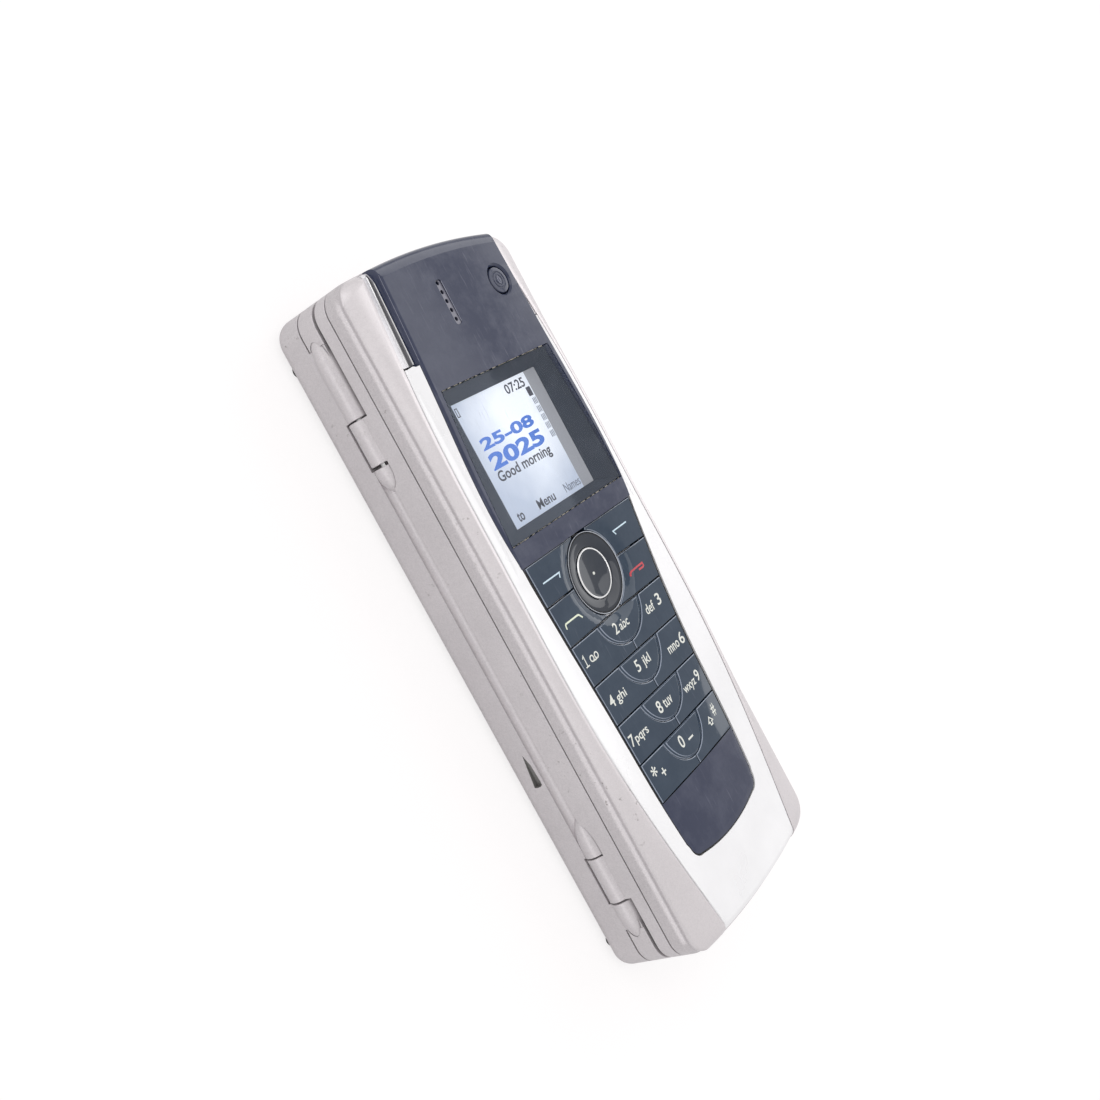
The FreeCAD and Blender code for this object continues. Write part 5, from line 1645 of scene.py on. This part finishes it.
        # Painted highlight along the left bevel of the cover only.
        edge = [(-float(HOOD.half(y)) + 0.1, float(y)) for y in np.linspace(53.0, 70.5, 20)]
        line = Lettering.drape(Lettering.stroke(edge, 0.16, 0.0), lambda _, y: FRONT.arch(y), -0.36)
        dress(line, Body.LID, self.finishes.rim)
        low, high = self.earpiece_x - 0.8, self.earpiece_x + 1.0
        field = rounded_plan([(low, 56.75), (high, 56.75), (high, 66.15), (low, 66.15)], [0.7] * 4)
        floor = Former.solid("earpiece_field", [level(field, z) for z in (24.3, 24.52)])
        holes = [Former.solid("tool", [circle(20, 0.47, self.earpiece_x, 57.9 + 1.93 * step, z)
                                       for z in (20.0, 30.0)])
                 for step in range(5)]
        Former.combine(floor, holes, "DIFFERENCE")
        dress(floor, Body.LID, self.finishes.slot)
        # Painted highlight along the slot's right edge.
        slot = [(self.earpiece_x + 1.0, y) for y in (57.2, 60.0, 63.0, 65.8)]
        line = Lettering.drape(Lettering.stroke(slot, 0.14, 0.0), lambda _, y: FRONT.arch(y), -0.02)
        dress(line, Body.LID, self.finishes.rim)
        low, high = self.lens_y
        joints = []
        for y, half in ((low - 0.1, self.lens_halves[0]), (high + 0.1, self.lens_halves[2])):
            place = -half
            while place < half - 1.2:
                span = self.chance.uniform(0.3, 1.4)
                joints.append(Lettering.stroke([(place + span * t, y) for t in (0.0, 0.5, 1.0)],
                                               self.chance.uniform(0.08, 0.2), 0.0))
                place += span + self.chance.uniform(0.1, 1.3)
        dust = Lettering.drape(Former.join("window_joint_dust", joints), lambda _, y: FRONT.arch(y),
                               -0.03)
        dress(dust, Body.LID, self.finishes.dust)

    def lens_curve(self, grow: float) -> SideCurve:
        """Half width of the display window."""
        low, high = self.lens_y
        return SideCurve(((low - grow, self.lens_halves[0]), ((low + high) / 2, self.lens_halves[1]),
                          (high + grow, self.lens_halves[2])))

    def lens(self, grow: float, z0: float, z1: float) -> bpy.types.Object:
        """Block of the display window.

        Args:
            grow: how far outside the window's edge.
            z0: bottom.
            z1: top.

        Returns:
            The block.
        """
        return Former.solid("tool",
                            [self.lens_curve(grow).ring(grow, (0.0, 0.0), z, 24) for z in (z0, z1)])

    def window(self) -> None:
        """Clear window over the display, and the dark frame that slopes down to the display."""
        curve = self.lens_curve(0.0)
        glass = Former.solid("display_window_clear",
                             [curve.ring(0.0, (0.0, 0.0), z, 24) for z in (23.3, 26.0)])
        Former.combine(glass, [self.crown(0.05)], "INTERSECT")
        dress(glass, Body.LID, self.finishes.window, ("display_window",))
        outer = curve.ring(-0.05, (0.0, 0.0), 0.0, 24)
        inner = [(min(max(x, -15.1), 15.1), min(max(y, 16.5), 43.4)) for x, y, _ in outer]
        outline = [(x, y) for x, y, _ in outer]
        rings = [level(outline, 20.9), level(outline, 23.2), level(inner, 21.42), level(inner, 20.9)]
        surround = Former.solid("display_surround", rings, capped=False)
        dress(surround, Body.LID, self.finishes.surround)

    def build(self) -> None:
        """Make all pieces of the insert."""
        self.bezel()
        self.seam()
        self.channel()
        self.cover()
        self.window()


# ---------------------------------------------------------------- lettering


class Lettering:
    """Raised generic lettering, drawn with plain strokes or letter shapes."""

    @staticmethod
    def word(text: str, x: float, y: float, z: float, size: float, narrow: float = 0.85,
             bold: float = 0.0) -> bpy.types.Object:
        """Letters that lie on the front, reading towards +x.

        Args:
            text: the letters.
            x: left end.
            y: baseline.
            z: height of the surface.
            size: letter size in millimetres.
            narrow: width factor.
            bold: stroke growth in millimetres.

        Returns:
            The mesh object.
        """
        curve = bpy.data.curves.new("word", "FONT")
        curve.body = text
        curve.size = size * MM
        curve.extrude = 0.012 * MM
        curve.offset = bold * MM
        curve.resolution_u = 4
        holder = bpy.data.objects.new("word", curve)
        bpy.context.scene.collection.objects.link(holder)
        holder.scale = (narrow, 1, 1)
        holder.location = ((x + BODY_SHIFT) * MM, y * MM, z * MM)
        bpy.context.view_layer.update()
        graph = bpy.context.evaluated_depsgraph_get()
        data = bpy.data.meshes.new_from_object(holder.evaluated_get(graph))
        data.transform(holder.matrix_world)
        made = bpy.data.objects.new("word", data)
        bpy.context.scene.collection.objects.link(made)
        bpy.data.objects.remove(holder)
        bpy.data.curves.remove(curve)
        return made

    @staticmethod
    def fitted(text: str, x0: float, x1: float, y0: float, y1: float,
               bold: float = 0.03) -> bpy.types.Object:
        """Letters that fill a field exactly, at height 0.

        Args:
            text: the letters.
            x0: left end.
            x1: right end.
            y0: lower end.
            y1: upper end.
            bold: stroke growth in millimetres.

        Returns:
            The mesh object.
        """
        made = Lettering.word(text, 0.0, 0.0, 0.0, 3.0, 1.0, bold)
        points = np.array([v.co for v in made.data.vertices])
        low, high = points.min(axis=0), points.max(axis=0)
        for vertex in made.data.vertices:
            x, y, z = vertex.co
            x = ((x - low[0]) / (high[0] - low[0]) * (x1 - x0) + x0 + BODY_SHIFT) * MM
            y = ((y - low[1]) / (high[1] - low[1]) * (y1 - y0) + y0) * MM
            vertex.co = (x, y, z - low[2])
        return made

    @staticmethod
    def drape(obj: bpy.types.Object, surface: Callable[[float, float], float],
              lift: float) -> bpy.types.Object:
        """Lay flat lettering on a surface.

        Args:
            obj: the lettering, at height 0.
            surface: height of the surface at (x, y).
            lift: distance from the surface.

        Returns:
            The lettering.
        """
        for vertex in obj.data.vertices:
            x, y, z = vertex.co
            vertex.co.z = z + (surface(x / MM - BODY_SHIFT, y / MM) + lift) * MM
        return obj

    @staticmethod
    def stroke(points: Plan, width: float, z: float, closed: bool = False,
               height: float = 0.025) -> bpy.types.Object:
        """Flat line of even width along points.

        Args:
            points: the path.
            width: width of the line.
            z: height of its underside.
            closed: join the last point to the first.
            height: thickness of the line.

        Returns:
            The mesh object.
        """
        pts = [Vector(p) for p in points]
        count = len(pts)
        sides = []
        for i, here in enumerate(pts):
            before = pts[i - 1] if closed or i > 0 else here * 2 - pts[i + 1]
            after = pts[(i + 1) % count] if closed or i < count - 1 else here * 2 - pts[i - 1]
            a, b = (here - before).normalized(), (after - here).normalized()
            normal = Vector((-(a + b).y, (a + b).x))
            normal = normal.normalized() if normal.length > 1e-6 else Vector((-a.y, a.x))
            reach = width / 2 / max(0.5, normal.dot(Vector((-b.y, b.x))))
            sides.append((here + normal * reach, here - normal * reach))
        rings = []
        for left, right in sides:
            rings.append([(left.x, left.y, z), (right.x, right.y, z), (right.x, right.y, z + height),
                          (left.x, left.y, z + height)])
        return Former.solid("stroke", rings, capped=not closed)


# ---------------------------------------------------------------- keypad


@dataclass
class Keypad:
    """Keys on the front: soft keys, call keys, digits, navigation ring and power key."""

    finishes: Finishes
    bottom: float = 20.7
    gap: float = 0.3
    digit_halves: tuple[float, ...] = (7.8, 7.4, 7.3, 6.8)
    digit_rise: float = 1.2
    digit_depth: float = 7.5
    skirt: tuple[float, float] = (1.0, 0.45)
    nav_radius: float = 8.75
    nav_button: float = 5.35

    def cup(self, row: int, grow: tuple[float, float], top: float, steps: int = 30) -> Plan:
        """Half-round outline of the middle key, from right to left through the bottom.

        Args:
            row: row of the key.
            grow: how much wider and deeper than the face of the key.
            top: height in the plan where the outline starts and ends.
            steps: number of steps.

        Returns:
            The points.
        """
        wide, deep = self.digit_halves[row - 2] + grow[0], self.digit_depth + grow[1]
        centre = FRONT.edge(row) + self.digit_rise
        start = math.asin(max(-1.0, min(1.0, (top - centre) / deep)))
        return [(wide * math.cos(t), centre + deep * math.sin(t))
                for t in np.linspace(start, -math.pi - start, steps)]

    def side_plan(self, row: int, side: int) -> Plan:
        """Plan of a key beside the middle keys.

        Args:
            row: row of the key.
            side: 1 for the right side and -1 for the left.

        Returns:
            Closed counter-clockwise plan.
        """
        half_gap = self.gap / 2
        high, low = FRONT.edge(row) - half_gap, FRONT.edge(row + 1) + half_gap
        outer = [(float(PANEL.half(y)) - 0.2, float(y)) for y in np.linspace(low, high, 9)]
        if row > 1:
            grow = (self.skirt[0] + 0.18, self.skirt[1] + 0.18)
            ring = [p for p in self.cup(row, grow, high) if p[0] > half_gap]
            plan = [(half_gap, low)] + outer + ring + [(half_gap, ring[-1][1] - 0.001)]
        else:
            reach = self.nav_radius + 0.15
            cut = []
            for turn in np.linspace(math.pi / 2, -math.pi / 2, 91):
                x, y = reach * math.cos(turn), FRONT.nav_y + reach * math.sin(turn)
                if x > half_gap and low + (0.35 if row else 0.0) < y < high - (0.0 if row else 0.45):
                    cut.append((x, y))
            plan = [(cut[-1][0], low)] + outer + [(cut[0][0], high)] + (cut[1:] if row else cut[:-1])
        if side < 0:
            plan = [(-x, y) for x, y in reversed(plan)]
        return plan

    def lay(self, plan: Plan, drop: float) -> Ring:
        """Ring on the key faces, or so far under them."""
        return [(x, y, FRONT.surface(x, y) - drop) for x, y in plan]

    def trim(self, name: str, rings: list[Ring], body: str, bright: dict[int, float]) -> None:
        """Cut a key to the shape of the key faces and give it its finish and a painted highlight.

        Args:
            name: CAD node that it stands for.
            rings: its outline, from the foot to above the face.
            body: body that carries it.
            bright: band number to the least slant, towards the hinge side or the top, above which its
                faces get the painted highlight.
        """
        piece = Former.solid(name + "_skin", rings)
        piece.data.materials.append(self.finishes.key)
        piece.data.materials.append(self.finishes.edge)
        count = len(rings[0])
        # Painted highlight: faces of the listed bands that slant far enough towards the hinge side or the
        # top get the lighter edge finish.
        for poly in piece.data.polygons:
            least = bright.get(poly.index // count)
            if least is not None and max(-poly.normal.x, poly.normal.y) > least:
                poly.material_index = 1
        xs, ys = [p[0] for p in rings[0]], [p[1] for p in rings[0]]
        face = FRONT.below((min(xs) - 0.5, max(xs) + 0.5), (min(ys) - 0.3, max(ys) + 0.3), 0.0)
        Former.combine(piece, [face], "INTERSECT", 28.0)
        Former.weigh(piece)
        dress(piece, body, self.finishes.key, (name,))

    def side_key(self, name: str, row: int, side: int) -> None:
        """Soft key, call key or digit key beside the middle.

        Args:
            name: the key's body.
            row: key row, 0 next to the display.
            side: -1 for the left, 1 for the right.
        """
        plan = self.side_plan(row, side)
        rings = [level(plan, self.bottom), self.lay(plan, 0.2)]
        for inset, drop in ((0.05, 0.09), (0.15, 0.02), (0.22, 0.004)):
            rings.append(self.lay(offset(plan, inset), drop))
        rings.append(level(offset(plan, 0.22), 27.0))
        self.trim(name, rings, name + "_cap", {1: 0.25, 2: 0.25})

    def middle_key(self, name: str, row: int) -> None:
        """Half-round digit key with its slanted skirt."""
        high = FRONT.edge(row) - self.gap / 2
        wide, deep = self.skirt
        outlines = (((wide, deep), high, 0.24), ((wide - 0.2, deep - 0.12), high - 0.05, 0.12),
                    ((wide - 0.3, deep - 0.2), high - 0.12, 0.2), ((0.2, 0.1), high - 0.2, 0.14),
                    ((0.0, 0.0), high - 0.28, 0.02), ((-0.16, -0.12), high - 0.36, 0.004))
        plans = [list(reversed(self.cup(row, grow, top))) for grow, top, _ in outlines]
        rings = [level(plans[0], self.bottom)]
        rings += [self.lay(plan, drop) for plan, (_, _, drop) in zip(plans, outlines)]
        rings.append(level(plans[-1], 27.0))
        # Painted highlight on the whole skirt band and the whole face rim of the middle key.
        self.trim(name, rings, name + "_cap", {1: -2.0, 4: -2.0})

    def keys(self) -> None:
        """Make the soft keys, call keys and the digit block."""
        rows = (("soft_key_left", None, "soft_key_right"), ("call_key", None, "end_key"),
                ("key_1", "key_2", "key_3"), ("key_4", "key_5", "key_6"), ("key_7", "key_8", "key_9"),
                ("key_star", "key_0", "key_hash"))
        for row, (left, middle, right) in enumerate(rows):
            self.side_key(left, row, -1)
            self.side_key(right, row, 1)
            if middle:
                self.middle_key(middle, row)

    def dial(self, name: str, levels: list[tuple[float, float]], capped: bool) -> bpy.types.Object:
        """Round piece of the navigation key, tilted like the key faces.

        Args:
            name: name of the piece.
            levels: radius and height over the key faces; a height over 15 counts from the bottom instead.
            capped: close both ends.

        Returns:
            The piece.
        """
        y0 = FRONT.nav_y
        rings = []
        for radius, rise in levels:
            ring = circle(96, radius, 0, y0, 0.0)
            rings.append([(x, y, rise if rise > 15
                           else FRONT.nav_level + FRONT.nav_slope * (y - y0) + rise)
                          for x, y, _ in ring])
        return Former.solid(name, rings, capped=capped)

    def nav(self) -> None:
        """Navigation ring like a glossy lens, with its dished button."""
        r, out = self.nav_button, self.nav_radius
        levels = [(r + 0.15, 21.0), (r + 0.15, -1.38), (r + 0.3, -1.28), (r + 0.75, -1.18),
                  (r + 1.5, -1.02),
                  (r + 2.2, -0.92), (out - 0.62, -0.9), (out - 0.5, -1.0), (out - 0.36, -1.0),
                  (out - 0.26, -0.84),
                  (out - 0.12, -0.8), (out, -0.88), (out, 21.0)]
        ring = self.dial("nav_ring_skin", levels, False)
        dress(ring, Body.NAV_RIM, self.finishes.ring, ("nav_ring",))
        rim = [(out - 0.28, -0.9), (out - 0.25, -0.79), (out - 0.14, -0.77), (out - 0.11, -0.9)]
        dress(self.dial("nav_outer_line", rim, False), Body.NAV_RIM, self.finishes.thin_line)
        groove = [(out - 0.62, -0.92), (out - 0.58, -0.885), (out - 0.42, -0.885), (out - 0.38, -0.92)]
        dress(self.dial("nav_dark_groove", groove, False), Body.NAV_RIM, self.finishes.gap)
        foot = Former.solid("nav_actuator_skin", [circle(48, radius, 0, FRONT.nav_y, z) for radius, z in (
            (4.2, 20.5), (4.35, 20.53), (4.35, 20.57), (4.1, 20.6), (2.0, 20.61), (0.3, 20.62))])
        dress(foot, Body.NAV_ROCKER, self.finishes.white, ("nav_actuator",))
        levels = [(r, 21.0), (r, -1.3), (r - 0.08, -1.22), (r - 0.3, -1.18), (r - 0.5, -1.24)]
        for share in np.linspace(0.1, 1.0, 10):
            levels.append(((r - 0.5) * (1 - share) + 0.02, -1.24 - 0.26 * math.sin(share * math.pi / 2)))
        button = self.dial("nav_button_skin", levels, True)
        dress(button, Body.NAV_CENTRE, self.finishes.dish, ("nav_button",))
        rim = [(r - 0.38, -1.22), (r - 0.34, -1.12), (r - 0.1, -1.12), (r - 0.0, -1.24)]
        dress(self.dial("nav_bright_line", rim, False), Body.NAV_CENTRE, self.finishes.bright)
        dot = [(0.34, -1.5), (0.32, -1.42), (0.14, -1.38)]
        dress(self.dial("nav_dot", dot, True), Body.NAV_CENTRE, self.finishes.legend)

    def power(self) -> None:
        """Power key with its fine rings and plain upright mark."""
        x, y = POWER_KEY
        top = FRONT.arch(y) - 0.22
        levels = [(3.0, 20.7), (2.85, 20.9), (2.85, top - 0.22), (2.74, top - 0.06), (2.5, top)]
        for radius in (1.75, 0.95):
            levels += [(radius + 0.2, top + 0.01), (radius + 0.08, top - 0.12),
                       (radius - 0.08, top - 0.12),
                       (radius - 0.2, top + 0.01)]
        levels += [(0.4, top + 0.02), (0.02, top + 0.02)]
        button = Former.solid("power_key_skin", [circle(72, rad, x, y, z) for rad, z in levels],
                              smooth=24)
        dress(button, Body.POWER_KEY, self.finishes.navy, ("power_key",))
        turns = np.linspace(0, 2 * math.pi, 24, endpoint=False)
        mark = Lettering.stroke([(x + 0.34 * math.cos(t), y + 0.8 * math.sin(t)) for t in turns], 0.13,
                                top + 0.015,
                                closed=True)
        dress(mark, Body.POWER_KEY, self.finishes.rim)

    def build(self) -> None:
        """Make all keys of the front."""
        self.keys()
        self.nav()
        self.power()
        self.legends()

    def legends(self) -> None:
        """Print the digits, letters and symbols."""
        texts = {
            "key_2": (("2", -4.1, -2.55, -12.05, -9.7), ("abc", -1.9, 1.7, -12.05, -10.1)),
            "key_3": (("def", 8.6, 12.05, -13.25, -11.1), ("3", 13.55, 15.25, -13.2, -10.65)),
            "key_4": (("4", -16.05, -14.35, -22.8, -20.4), ("ghi", -13.5, -9.95, -23.4, -20.95)),
            "key_5": (("5", -3.3, -1.8, -21.15, -18.65), ("jkl", -0.45, 2.4, -21.6, -18.95)),
            "key_6": (("mno", 9.15, 13.85, -22.95, -21.45), ("6", 14.5, 16.4, -23.1, -20.5)),
            "key_7": (("7", -16.25, -14.75, -31.55, -29.15), ("pqrs", -14.45, -9.6, -32.1, -30.2)),
            "key_8": (("8", -3.85, -2.2, -30.65, -28.05), ("tuv", -1.35, 2.1, -30.55, -28.7)),
            "key_9": (("wxyz", 7.1, 12.5, -32.1, -30.2), ("9", 13.15, 14.8, -31.55, -29.05)),
            "key_star": (("*", -15.1, -13.3, -39.2, -37.0), ("+", -12.45, -10.85, -40.45, -38.75)),
            "key_0": (("0", -3.15, -1.45, -39.2, -36.55),),
            "key_hash": (("#", 12.35, 14.0, -39.65, -37.05),),
        }
        loop = np.linspace(0, 2 * math.pi, 16, endpoint=False)
        signs = {
            "key_1": ([[(-14.5 + 0.6 * math.cos(t), -12.4 + 0.6 * math.sin(t)) for t in loop],
                       [(-12.8 + 0.6 * math.cos(t), -12.4 + 0.6 * math.sin(t)) for t in loop],
                       [(-14.5, -13.0), (-13.65, -13.04), (-12.8, -13.0)],
                       [(-17.25, -11.35), (-16.75, -10.85), (-16.75, -13.1)],
                       [(-17.35, -13.15), (-16.1, -13.15)]], 0.28),
            "key_0": ([[(0.1, -38.75), (1.1, -38.75), (2.15, -38.75)]], 0.4),
            "key_hash": ([[(9.8, -40.4), (9.8, -39.75), (9.2, -39.75), (10.2, -38.75), (11.2, -39.75),
                           (10.6, -39.75),
                           (10.6, -40.4)]], 0.3),
        }
        for key in (*texts, "key_1"):
            parts = [Lettering.fitted(*word) for word in texts.get(key, ())]
            paths, width = signs.get(key, ([], 0.0))
            parts += [Lettering.stroke(path, width, 0.0, closed=len(path) > 4) for path in paths]
            legend = Lettering.drape(Former.join("legend_" + key, parts), FRONT.surface, 0.003)
            dress(legend, key + "_cap", self.finishes.legend)
        lines = {
            "soft_key_left": ([(-17.95, 5.34), (-15.0, 5.33), (-12.0, 5.31), (-12.45, 4.35)], 0.3,
                              self.finishes.legend_blue),
            "soft_key_right": ([(15.9, 5.66), (13.0, 5.64), (10.15, 5.62), (10.8, 4.7)], 0.3,
                               self.finishes.legend_blue),
            "call_key": ([(-17.4, -4.75), (-17.3, -3.9), (-17.0, -3.72), (-15.0, -3.74), (-12.6, -3.76),
                          (-12.2, -3.88), (-11.4, -4.75)], 0.36, self.finishes.legend_green),
            "end_key": ([(9.3, -4.45), (9.6, -3.9), (10.2, -3.62), (12.5, -3.58), (14.9, -3.56),
                         (14.95, -4.2), (14.6, -4.4), (12.8, -4.36)], 0.42, self.finishes.legend_red),
        }
        for key, (path, width, material) in lines.items():
            line = Lettering.drape(Lettering.stroke(path, width, 0.0), FRONT.surface, 0.003)
            dress(line, key + "_cap", material)


@dataclass
class FrontDisplay:
    """Small colour display under the window, with plain generic content."""

    finishes: Finishes
    half: tuple[float, float] = (15.05, 13.55)
    centre_y: float = 30.1
    level: float = 21.35
    lit_end: float = 10.9

    def build(self) -> None:
        """Make the display field and its content."""
        x, cy = self.half[0], self.centre_y
        y0, y1 = cy - self.half[1], cy + self.half[1] - 0.3
        z = self.level
        module = rounded_plan([(-16.2, 15.0), (16.2, 15.0), (16.2, 45.0), (-16.2, 45.0)], [0.6] * 4)
        block = Former.solid("cover_display_case", [level(module, h) for h in (18.5, z - 0.3)])
        dress(block, Body.LID, self.finishes.white, ("cover_display",))
        plan = [(-x, y0), (self.lit_end, y0), (self.lit_end, y1), (-x, y1)]
        field = Former.solid("cover_display_field",
                             [level(rounded_plan(plan, [0.15] * 4), h) for h in (z - 0.3, z)])
        dress(field, Body.LID, self.finishes.screen)
        plan = [(self.lit_end + 0.02, y0), (x, y0), (x, y1), (self.lit_end + 0.02, y1)]
        band = Former.solid("cover_display_band",
                            [level(rounded_plan(plan, [0.15] * 4), h) for h in (z - 0.3, z)])
        dress(band, Body.LID, self.finishes.band)
        self.ink(y1, z)

    def ink(self, top: float, z: float) -> None:
        """Words, digits and marks on the display field.

        Args:
            top: upper end of the field along the length.
            z: height of the field.
        """
        words = (("07:25", 2.6, 9.6, 40.5, 42.6), ("Menu", -5.8, 0.6, 17.4, 19.4),
                 ("to", -13.2, -11.0, 17.4, 19.3), ("Good morning", -12.5, 6.7, 25.2, 28.1))
        ink = [Lettering.fitted(*word, bold=0.05) for word in words]
        corner = [(-14.6, top - 0.9), (-13.9, top - 0.9), (-13.9, top - 2.6), (-14.6, top - 2.6)]
        ink.append(Lettering.stroke(corner, 0.2, 0.0, closed=True))
        ink.append(Lettering.stroke([(9.75, 38.2), (9.75, 39.3), (9.75, 40.2)], 1.5, 0.0))
        piece = Lettering.drape(Former.join("cover_display_ink", ink), lambda *_: z, 0.002)
        dress(piece, Body.LID, self.finishes.screen_ink)
        pale = [Lettering.fitted("Names", 4.6, 10.6, 17.4, 19.3, bold=0.0)]
        for step in range(5):
            y = 37.0 - 1.9 * step
            pale += [Lettering.stroke([(9.5 + s, y - 0.7), (9.5 + s, y + 0.7)], 0.22, 0.0)
                     for s in (0.0, 0.5, 1.0)]
        piece = Lettering.drape(Former.join("cover_display_grey", pale), lambda *_: z, 0.002)
        dress(piece, Body.LID, self.finishes.screen_grey)
        blue = [Lettering.fitted("25-08", -12.6, 6.2, 32.7, 35.2, bold=0.11),
                Lettering.fitted("2025", -12.6, 6.7, 28.4, 31.8, bold=0.12)]
        piece = Lettering.drape(Former.join("cover_display_blue", blue), lambda *_: z, 0.002)
        dress(piece, Body.LID, self.finishes.screen_blue)


# ---------------------------------------------------------------- carried-over nodes


class InnerParts:
    """Finishes for the CAD nodes that are shown as they are."""

    def __init__(self, finishes: Finishes) -> None:
        """Keep the finishes."""
        f = finishes
        self.table = {
            f.silver: ("battery_cover",),
            f.board: ("main_board", "lid_board"),
            f.steel: ("shield_cans", "base_screws", "hinge_pins", "lid_screws", "sim_card_holder"),
            f.battery: ("battery",),
            f.gap: ("camera_module", "loudspeaker", "charger_jack", "system_connector",
                    "earpiece_speaker"),
            f.black_gloss: ("camera_window", "infrared_window", "main_display_window"),
            f.foil: ("keyboard_dome_sheet", "keypad_dome_sheet"),
            f.cap: ("application_keys", "keyboard_row_1", "keyboard_row_2", "keyboard_row_3",
                    "keyboard_row_4",
                    "keyboard_row_5", "joystick_cap", "command_keys"),
            f.white: ("joystick_actuator", "main_display"),
        }

    def build(self) -> None:
        """Put the finishes on the nodes."""
        for material, names in self.table.items():
            for name in names:
                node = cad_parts[name]
                node.data.materials.clear()
                node.data.materials.append(material)
                LOG.info("%s: %s", name, material.name)


# ---------------------------------------------------------------- studio


@dataclass
class Studio:
    """Pale floor, lamps as (place, size, power) in metres and watts, camera in millimetres."""

    eye: tuple[float, float, float] = (-210.37, 33.47, 181.62)
    right: tuple[float, float, float] = (0.51436, -0.47205, 0.71597)
    down: tuple[float, float, float] = (-0.35872, -0.87675, -0.32035)
    forward: tuple[float, float, float] = (0.77894, -0.09205, -0.62030)
    focal: float = 1315.8
    image: float = 1100.0
    sensor: float = 36.0
    lamps: tuple[tuple, ...] = (
        ((-0.35, 0.55, 0.75), (0.6, 0.6), 1.3),
        ((-0.6, -0.5, 0.5), (0.5, 0.5), 0.12),
        ((0.8, 0.23, 0.41), (1.14, 0.30), 1.3),
        ((-0.7, 0.0, 0.09), (1.2, 0.16), 0.8),
        ((0.45, 0.1, 0.62), (0.5, 0.4), 0.6),
    )
    surroundings: float = 0.78

    def camera(self) -> None:
        """Camera at the photograph's angle."""
        data = bpy.data.cameras.new("camera")
        data.sensor_width = self.sensor
        data.lens = self.focal * self.sensor / self.image
        data.clip_start = 0.01
        obj = bpy.data.objects.new("camera", data)
        right, up, back = Vector(self.right), -Vector(self.down), -Vector(self.forward)
        place = Vector(((self.eye[0] + BODY_SHIFT) * MM, self.eye[1] * MM, self.eye[2] * MM))
        turn = Matrix((right, up, back)).transposed().to_4x4()
        obj.matrix_world = Matrix.Translation(place) @ turn
        bpy.context.scene.collection.objects.link(obj)
        bpy.context.scene.camera = obj

    def lamp(self, place: tuple, size: tuple[float, float], power: float) -> None:
        """Soft lamp that faces the phone.

        Args:
            place: position in metres.
            size: width and height in metres.
            power: power in watts.
        """
        data = bpy.data.lights.new("lamp", "AREA")
        data.shape = "RECTANGLE"
        data.size, data.size_y = size
        data.energy = power
        obj = bpy.data.objects.new("lamp", data)
        obj.location = place
        obj.rotation_euler = (-Vector(place)).to_track_quat("-Z", "Y").to_euler()
        bpy.context.scene.collection.objects.link(obj)

    def world(self) -> None:
        """Even pale surroundings, plain white where the camera sees them."""
        world = bpy.data.worlds.new("studio")
        world.use_nodes = True
        tree = world.node_tree
        background = tree.nodes["Background"]
        background.inputs["Color"].default_value = (1.0, 0.985, 0.99, 1.0)
        path = tree.nodes.new("ShaderNodeLightPath")
        share = tree.nodes.new("ShaderNodeMapRange")
        tree.links.new(path.outputs["Is Camera Ray"], share.inputs["Value"])
        share.inputs["To Min"].default_value = self.surroundings
        share.inputs["To Max"].default_value = 1.0
        tree.links.new(share.outputs["Result"], background.inputs["Strength"])
        bpy.context.scene.world = world

    def floor(self) -> None:
        """Large pale floor that keeps a faint shadow."""
        plan = [(-2000.0, -2000.0), (2000.0, -2000.0), (2000.0, 2000.0), (-2000.0, 2000.0)]
        floor = Former.solid("studio_floor", [level(plan, z) for z in (-2.0, -0.01)])
        n = Nodes("floor_white")
        n.set(Base_Color=(0.85, 0.85, 0.85, 1.0), Roughness=0.8)
        path = n.node("LightPath")
        lift = n.node("Emission", {"Color": (1.0, 0.99, 0.99, 1.0), "Strength": 0.78})
        soft = n.node("BsdfDiffuse", {"Color": (0.26, 0.25, 0.25, 1.0)})
        seen = n.node("AddShader", {0: lift.outputs[0], 1: soft.outputs[0]})
        mixed = n.node("MixShader",
                       {0: path.outputs["Is Camera Ray"], 1: n.shader.outputs[0], 2: seen.outputs[0]})
        n.tree.links.new(mixed.outputs[0], n.tree.nodes["Material Output"].inputs["Surface"])
        floor.data.materials.append(n.material)

    def build(self) -> None:
        """Set up the whole studio."""
        scene = bpy.context.scene
        scene.view_settings.view_transform = "Standard"
        self.camera()
        self.world()
        self.floor()
        for place, size, power in self.lamps:
            self.lamp(place, size, power)


def main() -> None:
    """Build the phone and its studio."""
    logging.basicConfig(level=logging.INFO, format="%(message)s")
    finishes = Finishes()
    shell = BackShell(finishes)
    shell.build()
    KeyboardFrame(finishes, shell).build()
    LidFrame(finishes).build()
    LidShell(finishes).build()
    FrontInsert(finishes).build()
    FrontDisplay(finishes).build()
    Keypad(finishes).build()
    InnerParts(finishes).build()
    Studio().build()


if __name__ == "__main__":
    main()
